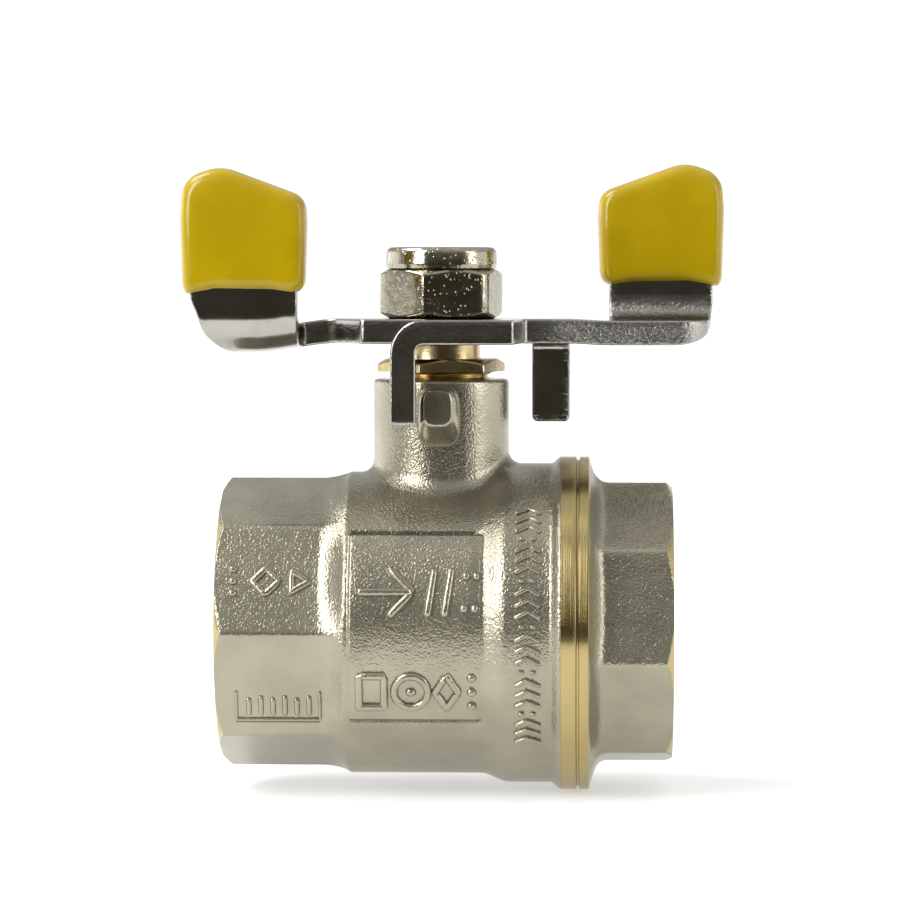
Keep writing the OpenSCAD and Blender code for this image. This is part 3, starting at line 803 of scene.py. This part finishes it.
def build_end_connector():
    """One closed skin of stations from the nose over the turned band and the octagon, round the face and
    back through the thread, the port and the seat's pocket.
    """
    skin = Skin()
    turn = math.radians(CONNECTOR_TURN)
    columns = polygon_columns(8, turn, 144)
    angle = columns[None, :]
    slit = BODY_END_X + 0.02
    outer_x = spread((NOSE_X, 0), (NOSE_X + 0.4, 1), (slit, 2), (slit, 1), (JOINT_X, 1),
                     (JOINT_X + CONNECTOR_EDGE, 2), (BAND_END_X - CONNECTOR_EDGE, 3), (BAND_END_X, 2),
                     (BAND_END_X + 2.6, 14), (OUTLET_X - 1.1, 7), (OUTLET_X - FACE_STEP, 9), (OUTLET_X, 1))
    cone_r = END_EDGE_R + (OUTLET_X - outer_x[:, None]) * END_EDGE_SLOPE
    octagon_r = soft_min([octagon(angle, turn), cone_r], 0.03)
    nose_r = CONNECTOR_THREAD_R - 0.05
    band_x = [JOINT_X, JOINT_X + CONNECTOR_EDGE, BAND_END_X - CONNECTOR_EDGE, BAND_END_X]
    band = np.interp(outer_x, band_x, [-0.35, 0, 0, -0.15]) + BAND_R
    fall = 1 - (1 - np.clip((outer_x - BAND_END_X) / 2.5, 0, 1)) ** 3.0
    outside = band[:, None] + (octagon_r - band[:, None]) * fall[:, None]
    seen = np.arange(len(outer_x)) > 3
    outer_r = np.where(seen[:, None], outside, nose_r)
    outer_r[0] = nose_r - 0.4
    bare = np.where(outer_x[:, None] > OUTLET_X - 2, face_mask(outer_x[:, None], angle, turn, OUTLET_X), 0.0)
    bare = np.where(outer_x[:, None] < BAND_END_X + 0.05, 1.0, bare)
    thread_x = np.linspace(OUTLET_X, OUTLET_THREAD_END, 104)
    thread_r = pipe_thread_radius(thread_x[:, None], angle, OUTLET_X, OUTLET_THREAD_END)
    inner = np.array([(OUTLET_THREAD_END, PORT_R), (SEAT_BACK, PORT_R), (SEAT_BACK, POCKET_R),
                      (NOSE_X, POCKET_R)])
    inner_r = np.broadcast_to(inner[:, 1:], (len(inner), len(columns)))
    loop = np.concatenate([round_pipe(outer_x[:, None], outer_r, angle),
                           round_pipe(thread_x[:, None], thread_r, angle),
                           round_pipe(inner[:, :1], inner_r, angle)])
    bare_all = np.ones(loop.shape[:2])
    bare_all[:len(outer_x) - 1] = bare[:-1]
    skin.grid(loop, wrap_u=True, wrap_v=True, bare=bare_all)
    return skin.piece("screwed_end", forged_body)


# ---------------------------------------------------------------- gland nut, stem and lock nut

def lathe_and_mill(name, stations, columns, finish, limits=None):
    """A closed skin round the stem from (z, radius) stations, cut to a polygon or flats: the radius is
    the lesser of a station's and its limit's. limits maps a station's number to a row of radii.
    """
    z = np.array([s[0] for s in stations])[:, None]
    r = np.broadcast_to(np.array([s[1] for s in stations])[:, None], (len(stations), len(columns))).copy()
    for n, row in (limits or {}).items():
        r[n] = soft_min([r[n], row], 0.04)
    skin = Skin()
    skin.grid(round_stem(r, columns[None, :], np.broadcast_to(z, r.shape)), wrap_u=True, wrap_v=True)
    return skin.piece(name, finish)


def hexagon_wall(z0, z1, face_r, foot_chamfer=True):
    """Stations up the outside of a hexagon nut: 30 degree chamfers that leave a round face, and the
    straight wall.
    """
    corner_r = NUT_FLATS / 2 / math.cos(math.pi / 6)
    run = np.linspace(0, 1, 7)
    far = corner_r + 0.05
    rise = (far - face_r) * math.tan(math.radians(30))
    foot = [(z0 + rise * t, face_r + (far - face_r) * t) for t in run] if foot_chamfer else [(z0, far)]
    head = [(z1 - rise * t, face_r + (far - face_r) * t) for t in run[::-1]]
    return foot + head


def build_gland_nut():
    """Bare brass: a thin hexagon over a fine thread, bored for the stem."""
    turn = math.radians(GLAND_TURN)
    columns = polygon_columns(6, turn, 72)
    hexagon = polygon_radius(columns, NUT_FLATS, 6, turn, 0.07)
    bore = STEM_BORE_R + 0.05
    inside = [(GLAND_END_Z, bore), (gland_high[2] - 0.2, bore), (gland_high[2], bore + 0.2)]
    wall = hexagon_wall(GLAND_HEAD_Z, gland_high[2], NUT_FLATS / 2 - 0.1, foot_chamfer=False)
    turns = np.linspace(GLAND_HEAD_Z - 0.1, GLAND_HEAD_Z - 1.1, 9)
    thread = [(GLAND_HEAD_Z - 0.01, 5.45)] + [(z, 5.62 + 0.33 * math.cos(2 * math.pi * z)) for z in turns]
    stations = inside + wall[::-1] + thread + [(GLAND_END_Z, 5.4)]
    limits = {len(inside) + n: hexagon for n in range(len(wall))}
    return lathe_and_mill("gland_hexagon", stations, columns, turned_brass, limits)


def build_lock_nut():
    """A lock nut: a chamfered hexagon, a round collar rolled over its insert, and a threaded bore."""
    turn = math.radians(LOCK_NUT_TURN)
    z0, z1 = nut_low[2], nut_high[2]
    hex_top = z0 + LOCK_NUT_HEX_H
    columns = polygon_columns(6, turn, 96)
    hexagon = polygon_radius(columns, NUT_FLATS, 6, turn, 0.40)
    wall = hexagon_wall(z0, hex_top, 6.05)
    collar = rounded_path([(hex_top + 0.03, COLLAR_NUT_R - 0.10), (hex_top + 0.5, COLLAR_NUT_R, 0.5),
                           (z1, COLLAR_NUT_R - 0.08, 0.75), (z1, 4.9, 0.15), (z1 - 0.45, 4.75)], 6)
    lip = insert_high[2] + 0.03
    ring = [(lip, 4.75), (lip, 5.5), (insert_low[2], 5.5), (insert_low[2], 4.0)]
    turns = np.linspace(insert_low[2] - 0.05, z0 + 0.6, 40)
    threads = [(z, 3.62 + 0.36 * math.cos(2 * math.pi * z / NUT_PITCH)) for z in turns]
    stations = wall + [tuple(p) for p in collar] + ring + threads + [(z0, 4.3)]
    limits = {n: hexagon for n in range(len(wall))}
    return lathe_and_mill("lock_nut", stations, columns, plated_nut, limits)


def build_nut_insert():
    """The nylon ring: a section with rounded corners, turned round the stem."""
    columns = 2 * math.pi * np.arange(96) / 96
    z0, z1 = insert_low[2], insert_high[2]
    section = [(z0, 5.45, 0.1), (z1, 5.45, 0.2), (z1, 4.0, 0.35), (z0, 4.0, 0.1)]
    return lathe_and_mill("lock_insert", rounded_path(section, 5, closed=True), columns, nylon)


def build_stem():
    """The stem turned round its axis: a tang between two flats, a flange, the shaft with its two grooves,
    the double-D that turns the lever, and the thread's real helix.
    """
    columns = 2 * math.pi * np.arange(120) / 120
    tang = TANG_HALF_W / np.maximum(np.abs(np.cos(columns)), 0.05)
    double_d = DOUBLE_D_HALF_W / np.maximum(np.abs(np.sin(columns)), 0.05)
    z0, z1 = stem_low[2], stem_high[2]
    foot = [(z0, 0.0), (z0, TANG_R - 0.2), (z0 + 0.2, TANG_R), (TANG_TOP_Z, TANG_R)]
    shaft = [(TANG_TOP_Z, FLANGE_R), (FLANGE_TOP_Z, FLANGE_R), (FLANGE_TOP_Z, STEM_R)]
    for groove in STEM_GROOVES:
        low, high = groove - GROOVE_W / 2, groove + GROOVE_W / 2
        shaft += [(low, STEM_R), (low, GROOVE_R), (high, GROOVE_R), (high, STEM_R)]
    shaft += [(LEVER_Z - 0.25, STEM_R), (LEVER_Z - 0.05, STEM_R - 0.2)]
    drive = [(LEVER_Z, 4.0), (LEVER_Z + SHEET, 4.0)]
    screw_z = np.linspace(LEVER_Z + SHEET + 0.02, z1, 84)
    stations = foot + shaft + drive
    z = np.concatenate([[s[0] for s in stations], screw_z, [z1]])
    r = np.broadcast_to(np.array([s[1] for s in stations] + [0.0] * (len(screw_z) + 1))[:, None],
                        (len(z), len(columns))).copy()
    for n in range(1, len(foot)):
        r[n] = np.minimum(r[n], tang)
    first = len(foot) + len(shaft)
    for n in (first, first + 1):
        r[n] = np.minimum(r[n], double_d)
    wave = thread_wave(screw_z[:, None] / NUT_PITCH - columns[None, :] / (2 * math.pi))
    screw = STEM_THREAD_R - 0.68 * wave
    nose = STEM_THREAD_R + 0.1 - np.maximum(screw_z[:, None] - (z1 - 0.8), 0)
    r[len(stations):len(stations) + len(screw_z)] = np.minimum(screw, nose)
    skin = Skin()
    skin.grid(round_stem(r, columns[None, :], np.broadcast_to(z[:, None], r.shape)), wrap_v=True)
    return skin.piece("turned_stem", turned_brass)


# ---------------------------------------------------------------- lever and sleeves

LEFT_WING_X = (left_low[0] + left_high[0]) / 2
RIGHT_WING_X = (right_low[0] + right_high[0]) / 2
WING_W = 12.1
WING_H = 19.6
ARM_HALF_W = 5.8
WING_BEND_IN = 2.0
TAB_BEND_IN = 0.9
TAB_ROOT = 1.5
TAB_W = 4.4
TAB_CENTRE = 12.6
TAB_END_Z = lever_low[2]
HUB_R = 9.0
LEFT_DROP = 1.0
RIGHT_DROP = 0.2
RIGHT_END = RIGHT_WING_X + WING_W / 2 - 0.6
END_TAPER = 4.2                        # length over which the right arm's underside rises to its end
END_RISE = 2.0                         # how far it rises
EDGE_R = 0.26                          # rounding of the sheet's edges
OUTLINE_STEP = 0.45
FIELD_STEP = 0.62                      # between the points that fill the sheet's faces


def bend_length(inner):
    """Length of the middle of the sheet round a right-angled bend."""
    return math.pi / 2 * (inner + SHEET / 2)


def lever_outline():
    """The lever's outline before it is bent, as (x, y) points with corners rounded: the wings and tabs
    lie flat.
    """
    wing_end = ARM_HALF_W + bend_length(WING_BEND_IN) + WING_H - SHEET - WING_BEND_IN
    tab_end = TAB_ROOT + bend_length(TAB_BEND_IN) + LEVER_Z - TAB_BEND_IN - TAB_END_Z
    left0, left1 = LEFT_WING_X - WING_W / 2, LEFT_WING_X + WING_W / 2
    right0, right1 = RIGHT_WING_X - WING_W / 2, RIGHT_WING_X + WING_W / 2
    strip0, strip1 = -TAB_CENTRE - TAB_W / 2, -TAB_CENTRE + TAB_W / 2
    tab0, tab1 = TAB_CENTRE - TAB_W / 2, TAB_CENTRE + TAB_W / 2
    tip = 2.6
    path = [
        # the right wing, from its outer edge to its inner one
        (right1 - 0.9, -ARM_HALF_W, 4.0), (right1 - 0.5, ARM_HALF_W, 6.0), (right1, ARM_HALF_W + 5, 6.0),
        (right1, wing_end, tip), (right0, wing_end - 3, tip),
        (right0, TAB_ROOT, 1.2), (tab1, TAB_ROOT, 0.4),
        # the rear tab
        (tab1, tab_end, 0.7), (tab0, tab_end, 0.7), (tab0, TAB_ROOT, 0.6), (9.2, TAB_ROOT, 1.0),
    ]
    # the back of the hub
    path += [(HUB_R * math.cos(a), HUB_R * math.sin(a), 0) for a in np.radians(np.linspace(18, 130, 13))]
    path += [
        (-8.4, ARM_HALF_W, 2.0), (left0 + 5.4, ARM_HALF_W, 3.5), (left0 + 5.3, -ARM_HALF_W + 0.6, 3.0),
        (left0 + 1.5, -ARM_HALF_W - 3.3, 3.5), (left0, -ARM_HALF_W - 6.6, 3.5),
        # the left wing
        (left0, -wing_end, tip), (left1, -wing_end + 3, tip), (left1, -3.4, 0.9), (-12.4, -3.4, 2.2),
    ]
    # the front of the hub, square on the left, and the relief beside the front tab's strip
    path += [
        (-8.8, -8.4, 0.9), (1.2, -8.9, 0.6), (1.2, strip1, 0.5),
        # the front tab
        (-tab_end, strip1, 0.7), (-tab_end, strip0, 0.7), (8.6, strip0, 0.5), (9.7, -ARM_HALF_W, 0.6),
    ]
    return rounded_path(path, 6, closed=True)


def resample(path, spacing):
    """A closed path with points at most spacing apart, its own corners kept."""
    out = []
    for a, b in zip(path, np.roll(path, -1, axis=0)):
        steps = max(1, int(math.ceil(np.hypot(*(b - a)) / spacing)))
        out += [a + (b - a) * t / steps for t in range(steps)]
    out = np.array(out)
    gap = np.hypot(*(out - np.roll(out, 1, axis=0)).T)
    return out[gap > 0.02]


def inward(path):
    """Unit vectors that point into a path that runs anticlockwise, at each of its points."""
    ahead = np.roll(path, -1, axis=0) - path
    behind = path - np.roll(path, 1, axis=0)
    ahead /= np.hypot(*ahead.T)[:, None]
    behind /= np.hypot(*behind.T)[:, None]
    tangent = ahead + behind
    tangent /= np.hypot(*tangent.T)[:, None]
    return np.stack([-tangent[:, 1], tangent[:, 0]], axis=-1)


def inside_path(points, path):
    """Which points lie in a closed path, by counting the path's crossings to their right."""
    a, b = path, np.roll(path, -1, axis=0)
    y = points[:, 1][:, None]
    spans = (a[:, 1] > y) != (b[:, 1] > y)
    rise = np.where(np.abs(b[:, 1] - a[:, 1]) < 1e-12, 1e-12, b[:, 1] - a[:, 1])
    cross = a[:, 0] + (y - a[:, 1]) * (b[:, 0] - a[:, 0]) / rise
    return (spans & (points[:, 0][:, None] < cross)).sum(axis=1) % 2 == 1


def distance_to(points, path):
    """Distance from each point to the nearest point of a path."""
    return np.sqrt(((points[:, None, :] - path[None, :, :]) ** 2).sum(axis=-1)).min(axis=1)


def bend_up(run, height, inner):
    """Where a point lands that is run past the start of a bend, at a height in the sheet: it turns about
    an axis that is inner above the sheet's top. Gives (out, up).
    """
    length = bend_length(inner)
    turn = np.clip(run, 0, length) / (inner + SHEET / 2)
    arm = SHEET + inner - height
    past = np.maximum(run - length, 0)
    return np.minimum(run, 0) + arm * np.sin(turn), SHEET + inner - arm * np.cos(turn) + past


def bend_down(run, height, inner):
    """The same for a bend about an axis that is inner below the sheet's underside."""
    length = bend_length(inner)
    turn = np.clip(run, 0, length) / (inner + SHEET / 2)
    arm = height + inner
    past = np.maximum(run - length, 0)
    return np.minimum(run, 0) + arm * np.sin(turn), arm * np.cos(turn) - inner - past


def press_lever(p):
    """Bends the flat sheet: both wings up, both tabs down, and both arms a little down towards their
    wings. The right arm's underside rises in a quarter round to its end first.
    """
    x, y, h = p.T
    run = np.clip((x - RIGHT_END) / END_TAPER + 1, 0, 1)
    lift = END_RISE * (1 - np.sqrt(1 - run ** 2)) * smooth((ARM_HALF_W + 4 - y) / 4)
    h = h + lift * (1 - h / SHEET)
    out_x, out_y, out_z = x.copy(), y.copy(), h.copy()
    right = (y > ARM_HALF_W - 0.001) & (x > 16)
    out, up = bend_up(y - ARM_HALF_W, h, WING_BEND_IN)
    out_y, out_z = np.where(right, ARM_HALF_W + out, out_y), np.where(right, up, out_z)
    left = (y < -ARM_HALF_W + 0.001) & (x < -13)
    out, up = bend_up(-y - ARM_HALF_W, h, WING_BEND_IN)
    out_y, out_z = np.where(left, -ARM_HALF_W - out, out_y), np.where(left, up, out_z)
    rear = (y > TAB_ROOT) & (x > TAB_CENTRE - TAB_W / 2 - 0.7) & (x < TAB_CENTRE + TAB_W / 2 + 0.7)
    out, up = bend_down(y - TAB_ROOT, h, TAB_BEND_IN)
    out_y, out_z = np.where(rear, TAB_ROOT + out, out_y), np.where(rear, up, out_z)
    front = (x < -TAB_ROOT) & (y < -TAB_CENTRE + TAB_W / 2 + 0.7) & (x > -14.6)
    out, up = bend_down(-x - TAB_ROOT, h, TAB_BEND_IN)
    out_x, out_z = np.where(front, -TAB_ROOT - out, out_x), np.where(front, up, out_z)
    drop = LEFT_DROP * smooth((-11.5 - out_x) / 9.5) + RIGHT_DROP * smooth((out_x - 14.5) / 5)
    return np.stack([out_x, out_y, LEVER_Z + out_z - drop], axis=-1)


def build_lever():
    """The lever as pressed sheet. Its outline is drawn flat and its edges are quarter rounds of points
    set inwards; both faces are filled with triangles over an even field of points; then the whole sheet
    is bent.
    """
    outline = resample(lever_outline(), OUTLINE_STEP)
    if (outline[:, 0] * np.roll(outline[:, 1], -1) - np.roll(outline[:, 0], -1) * outline[:, 1]).sum() < 0:
        outline = outline[::-1]
    into = inward(outline)
    hole_angle = 2 * math.pi * np.arange(40) / 40
    hole_r = np.minimum(4.05, 3.05 / np.maximum(np.abs(np.sin(hole_angle)), 0.05))
    hole = np.stack([hole_r * np.cos(hole_angle), hole_r * np.sin(hole_angle)], axis=-1)

    round_in = np.linspace(0, math.pi / 2, 6)
    low = [(EDGE_R * (1 - math.sin(a)), EDGE_R * (1 - math.cos(a))) for a in round_in]
    walls = low + [(0.0, h) for h in np.linspace(EDGE_R, SHEET - EDGE_R, 6)[1:-1]]
    walls += [(inset, SHEET - height) for inset, height in low[::-1]]
    count = len(outline)
    rings = np.array([np.column_stack([outline + into * inset, np.full(count, h)]) for inset, h in walls])

    field_x, field_y = np.meshgrid(np.arange(-30, 34, FIELD_STEP), np.arange(-32, 32, FIELD_STEP))
    field_x[::2] += FIELD_STEP / 2
    field = np.column_stack([field_x.ravel(), field_y.ravel()])
    edge = outline + into * EDGE_R
    field = field[inside_path(field, edge)]
    field = field[(distance_to(field, edge) > 0.38) & (np.hypot(field[:, 0], field[:, 1]) > 4.5)]

    m = len(hole)
    flat = np.concatenate([edge, hole, field])
    ring_edges = [(i, (i + 1) % count) for i in range(count)]
    ring_edges += [(count + i, count + (i + 1) % m) for i in range(m)]
    filled = delaunay_2d_cdt([Vector(p) for p in flat], ring_edges, [], 0, 1e-5)
    points = np.array([tuple(p) for p in filled[0]])
    triangles = np.array([t for t in filled[2] if len(t) == 3])
    middles = points[triangles].mean(axis=1)
    triangles = triangles[inside_path(middles, edge) & ~inside_path(middles, hole)]

    skin = Skin()
    middle = np.array([1.0 if 0.4 < wall[1] < SHEET - 0.4 else 0.7 for wall in walls])
    torn = middle[:, None] * (0.35 + 0.65 * smooth((outline[:, 0] - 9) / 6))
    beyond = np.abs(points[:, 1]) - ARM_HALF_W
    bent = smooth((beyond + 1.5) / 1.5) * smooth((6.5 - beyond) / 1.5) * (np.abs(points[:, 0]) > 16)
    skin.grid(press_lever(rings.reshape(-1, 3)).reshape(rings.shape), wrap_v=True, edge=torn)
    for h in (0.0, SHEET):
        sheet = press_lever(np.column_stack([points, np.full(len(points), h)]))
        start = skin.add(sheet, {"edge": bent * (h > 0) * 0.8})
        skin.faces.append(triangles + start)
    bore = np.array([np.column_stack([hole, np.full(m, h)]) for h in (0.0, SHEET)])
    skin.grid(press_lever(bore.reshape(-1, 3)).reshape(bore.shape), wrap_v=True, edge=0.0)
    return skin.piece("pressed_lever", sheet_steel, sharp=50.0)


def build_sleeve(name, low, high, side):
    """A dipped sleeve: its outline drawn in towards the middle by t, with a thickness of (1 - t^14)^0.45
    that is fullest in the middle. side is +1 where its outer side is +X.
    """
    x = (low[0] + high[0]) / 2
    half = (high[0] - low[0]) / 2
    z0, z1 = low[2] - 0.55, high[2]
    outline = rounded_path([
        (half - 0.25, z0 + 1.0, 1.5), (half, z0 + 9.0, 3.0), (half - 0.3, z1 - 1.2, 4.0),
        (half - 4.6, z1 + 0.30, 5.0), (-half + 0.15, z1 - 3.3, 3.2), (-half, z0 + 8.0, 3.0),
        (-half + 0.25, z0, 1.5), (-half * 0.45, z0 + 0.55, 2.0), (half * 0.45, z0 + 0.65, 2.0),
        (half - 0.6, z0, 1.2),
    ], 7, closed=True)
    outline = resample(outline, 0.35)
    centre = np.array([0.0, (z0 + z1) / 2 - 0.4])
    t = np.sin(np.linspace(0, math.pi / 2, 26))[1:]
    t = 1 - (1 - t) ** 1.35
    depth = (1 - t ** 14) ** 0.45
    middle_y = (low[1] + high[1]) / 2
    half_y = (high[1] - low[1]) / 2
    skin = Skin()
    for face in (1, -1):
        flat = centre + (outline[None, :, :] - centre) * t[:, None, None]
        belly = 1 - 0.07 * np.abs((flat[..., 1] - centre[1]) / (z1 - z0)) * 2
        y = middle_y + face * half_y * depth[:, None] * belly
        p = np.stack([x + side * flat[..., 0], y, flat[..., 1]], axis=-1)
        index = skin.grid(p, wrap_v=True)
        skin.fan(index[0], (x, middle_y + face * half_y, centre[1]))
    return skin.piece(name, vinyl, sharp=80.0)


# ---------------------------------------------------------------- put together

forging = build_valve_body()
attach(forging, "housing")
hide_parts("valve_body")

screwed_end = build_end_connector()
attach(screwed_end, "housing")
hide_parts("end_connector")

gland = build_gland_nut()
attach(gland, "housing")
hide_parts("gland_nut")

stem = build_stem()
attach(stem, "lever_and_stem")
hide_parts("stem")

lever = build_lever()
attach(lever, "lever_and_stem")
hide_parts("lever")

sleeve_l = build_sleeve("dipped_sleeve_left", left_low, left_high, -1)
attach(sleeve_l, "lever_and_stem")
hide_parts("sleeve_left")

sleeve_r = build_sleeve("dipped_sleeve_right", right_low, right_high, 1)
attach(sleeve_r, "lever_and_stem")
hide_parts("sleeve_right")

lock_nut = build_lock_nut()
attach(lock_nut, "lever_and_stem")
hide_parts("lever_nut")

insert = build_nut_insert()
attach(insert, "lever_and_stem")
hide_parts("lever_nut_insert")

inner_finishes = {
    "ball": chrome, "seat_ring_inlet": ptfe, "seat_ring_outlet": ptfe, "connector_seal_ring": ptfe,
    "stem_thrust_washer": ptfe, "packing_ring_lower": ptfe, "packing_ring_upper": ptfe,
    "stem_o_ring_lower": rubber, "stem_o_ring_upper": rubber,
}
for node_name, finish in inner_finishes.items():
    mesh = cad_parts[node_name].data
    mesh.materials.clear()
    mesh.materials.append(finish)


# ---------------------------------------------------------------- studio

FLOOR_Z = -0.0193                      # just under the body, in metres like the rest of the studio
FLOOR_FRONT = -0.12
FLOOR_REACH = 5.0
CLOTH_REACH = 1.5
LIGHT_AIM = (0, 0, 0.01)
CAMERA_PLACE = Vector((17.6, -454.2, 41.3)) * MM
CAMERA_AIM = Vector((0.98, 0, 19.9)) * MM
CAMERA_LENS = 157.6


def area_light(name, place, size, power):
    """A rectangular soft light aimed at the object, in metres and watts."""
    data = bpy.data.lights.new(name, "AREA")
    data.shape = "RECTANGLE"
    data.size, data.size_y = size
    data.energy = power
    lamp = bpy.data.objects.new(name, data)
    lamp.location = place
    lamp.rotation_euler = (Vector(LIGHT_AIM) - Vector(place)).to_track_quat("-Z", "Y").to_euler()
    bpy.context.scene.collection.objects.link(lamp)


def build_floor(z, front, reach):
    """A level light table, brighter away from the object, that starts a little in front of it and runs
    far behind it, as a grid of points.
    """
    x = np.linspace(-reach, reach, 9)
    y = front + (reach - front) * np.linspace(0, 1, 9) ** 2
    p = np.stack(np.meshgrid(x, y, indexing="ij") + [np.full((9, 9), z)], axis=-1)
    skin = Skin()
    skin.grid(p / MM)
    f = Finish("studio_floor", Roughness=0.6, Specular_IOR_Level=0.1, Emission_Strength=1.0)
    x, y = f.axis("X"), f.axis("Y")
    away = (x * x + y * y).step(0.004, 0.09)
    paint = f.feed(Base_Color=f.mix(f.noise(60.0, 2.0), grey(0.71), grey(0.73)),
                   Emission_Color=f.mix(away, grey(0.43), grey(0.62)))
    floor = skin.piece("studio_floor", paint)


def build_dark_cloth(reach):
    """A dark cloth round the front, which polished metal mirrors: a bowl of points at one distance, (sin
    p cos q, -cos p, sin p sin q) times reach. Its alpha fades it out upwards and to the sides.
    """
    p = np.radians(np.linspace(1, 80, 40))[:, None]
    q = np.linspace(0, 2 * math.pi, 64, endpoint=False)[None, :]
    bowl = reach * np.stack([np.sin(p) * np.cos(q), -np.cos(p) + 0 * q, np.sin(p) * np.sin(q)], axis=-1)
    skin = Skin()
    index = skin.grid(bowl / MM, wrap_v=True)
    skin.fan(index[0], (0, -reach / MM, 0))
    f = Finish("dark_cloth", Specular_IOR_Level=0.0, Roughness=1.0, Emission_Strength=1.0)
    toward_back, upward = f.axis("Y") * (1 / reach), f.axis("Z") * (1 / reach)
    low_front = (1 - toward_back.step(-0.80, -0.35)) * (1 - upward.step(0.0, 0.42))
    front = 1 - toward_back.step(-0.65, -0.20)
    # low in front the cloth glows a faint warm grey: painted dim light on it, for the metal to mirror
    paint = f.feed(Base_Color=grey(0.0), Alpha=1 - (1 - front * 0.42) * (1 - low_front),
                   Emission_Color=f.mix(low_front, grey(0.0), (0.070, 0.062, 0.045, 1)))
    cloth = skin.piece("dark_cloth", paint)
    cloth.visible_camera = False


build_floor(FLOOR_Z, FLOOR_FRONT, FLOOR_REACH)
build_dark_cloth(CLOTH_REACH)

world = bpy.data.worlds.new("studio")
bpy.context.scene.world = world
world.use_nodes = True
sky = Nodes(world.node_tree)
toward = sky.node("ShaderNodeTexCoord")
east, north, up = (sky.node("ShaderNodeSeparateXYZ", None, toward, out=name) for name in "XYZ")
behind = north.step(0.3, 0.8) * (1 - up.step(0.06, 0.3))
room = 0.54 + up.step(0.1, 0.7) * 0.34 - north.step(0.3, 0.8) * 0.18
low = 1 - up.step(0.15, 0.45)
right_card = east.step(0.72, 0.92) * low
left_card = (1 - (east - north * 0.6).step(-1.12, -0.98)) * low
level = room + behind * 0.75 + right_card * 1.0 + left_card * 1.3
sky.put(world.node_tree.nodes["Background"].inputs["Color"], level)

area_light("key", (-0.60, -0.60, 0.42), (0.30, 0.80), 7.6)
area_light("upper_key", (-0.50, 0.10, 0.76), (0.56, 0.36), 4.8)
area_light("fill", (0.78, -0.30, 0.28), (0.25, 0.5), 1.3)

camera_data = bpy.data.cameras.new("camera")
camera_data.sensor_width = 36
camera_data.lens = CAMERA_LENS
camera_data.clip_start = 0.01
camera = bpy.data.objects.new("camera", camera_data)
camera.location = CAMERA_PLACE
camera.rotation_euler = (CAMERA_AIM - CAMERA_PLACE).to_track_quat("-Z", "Y").to_euler()
bpy.context.scene.collection.objects.link(camera)
bpy.context.scene.camera = camera
bpy.context.scene.view_settings.view_transform = "Standard"
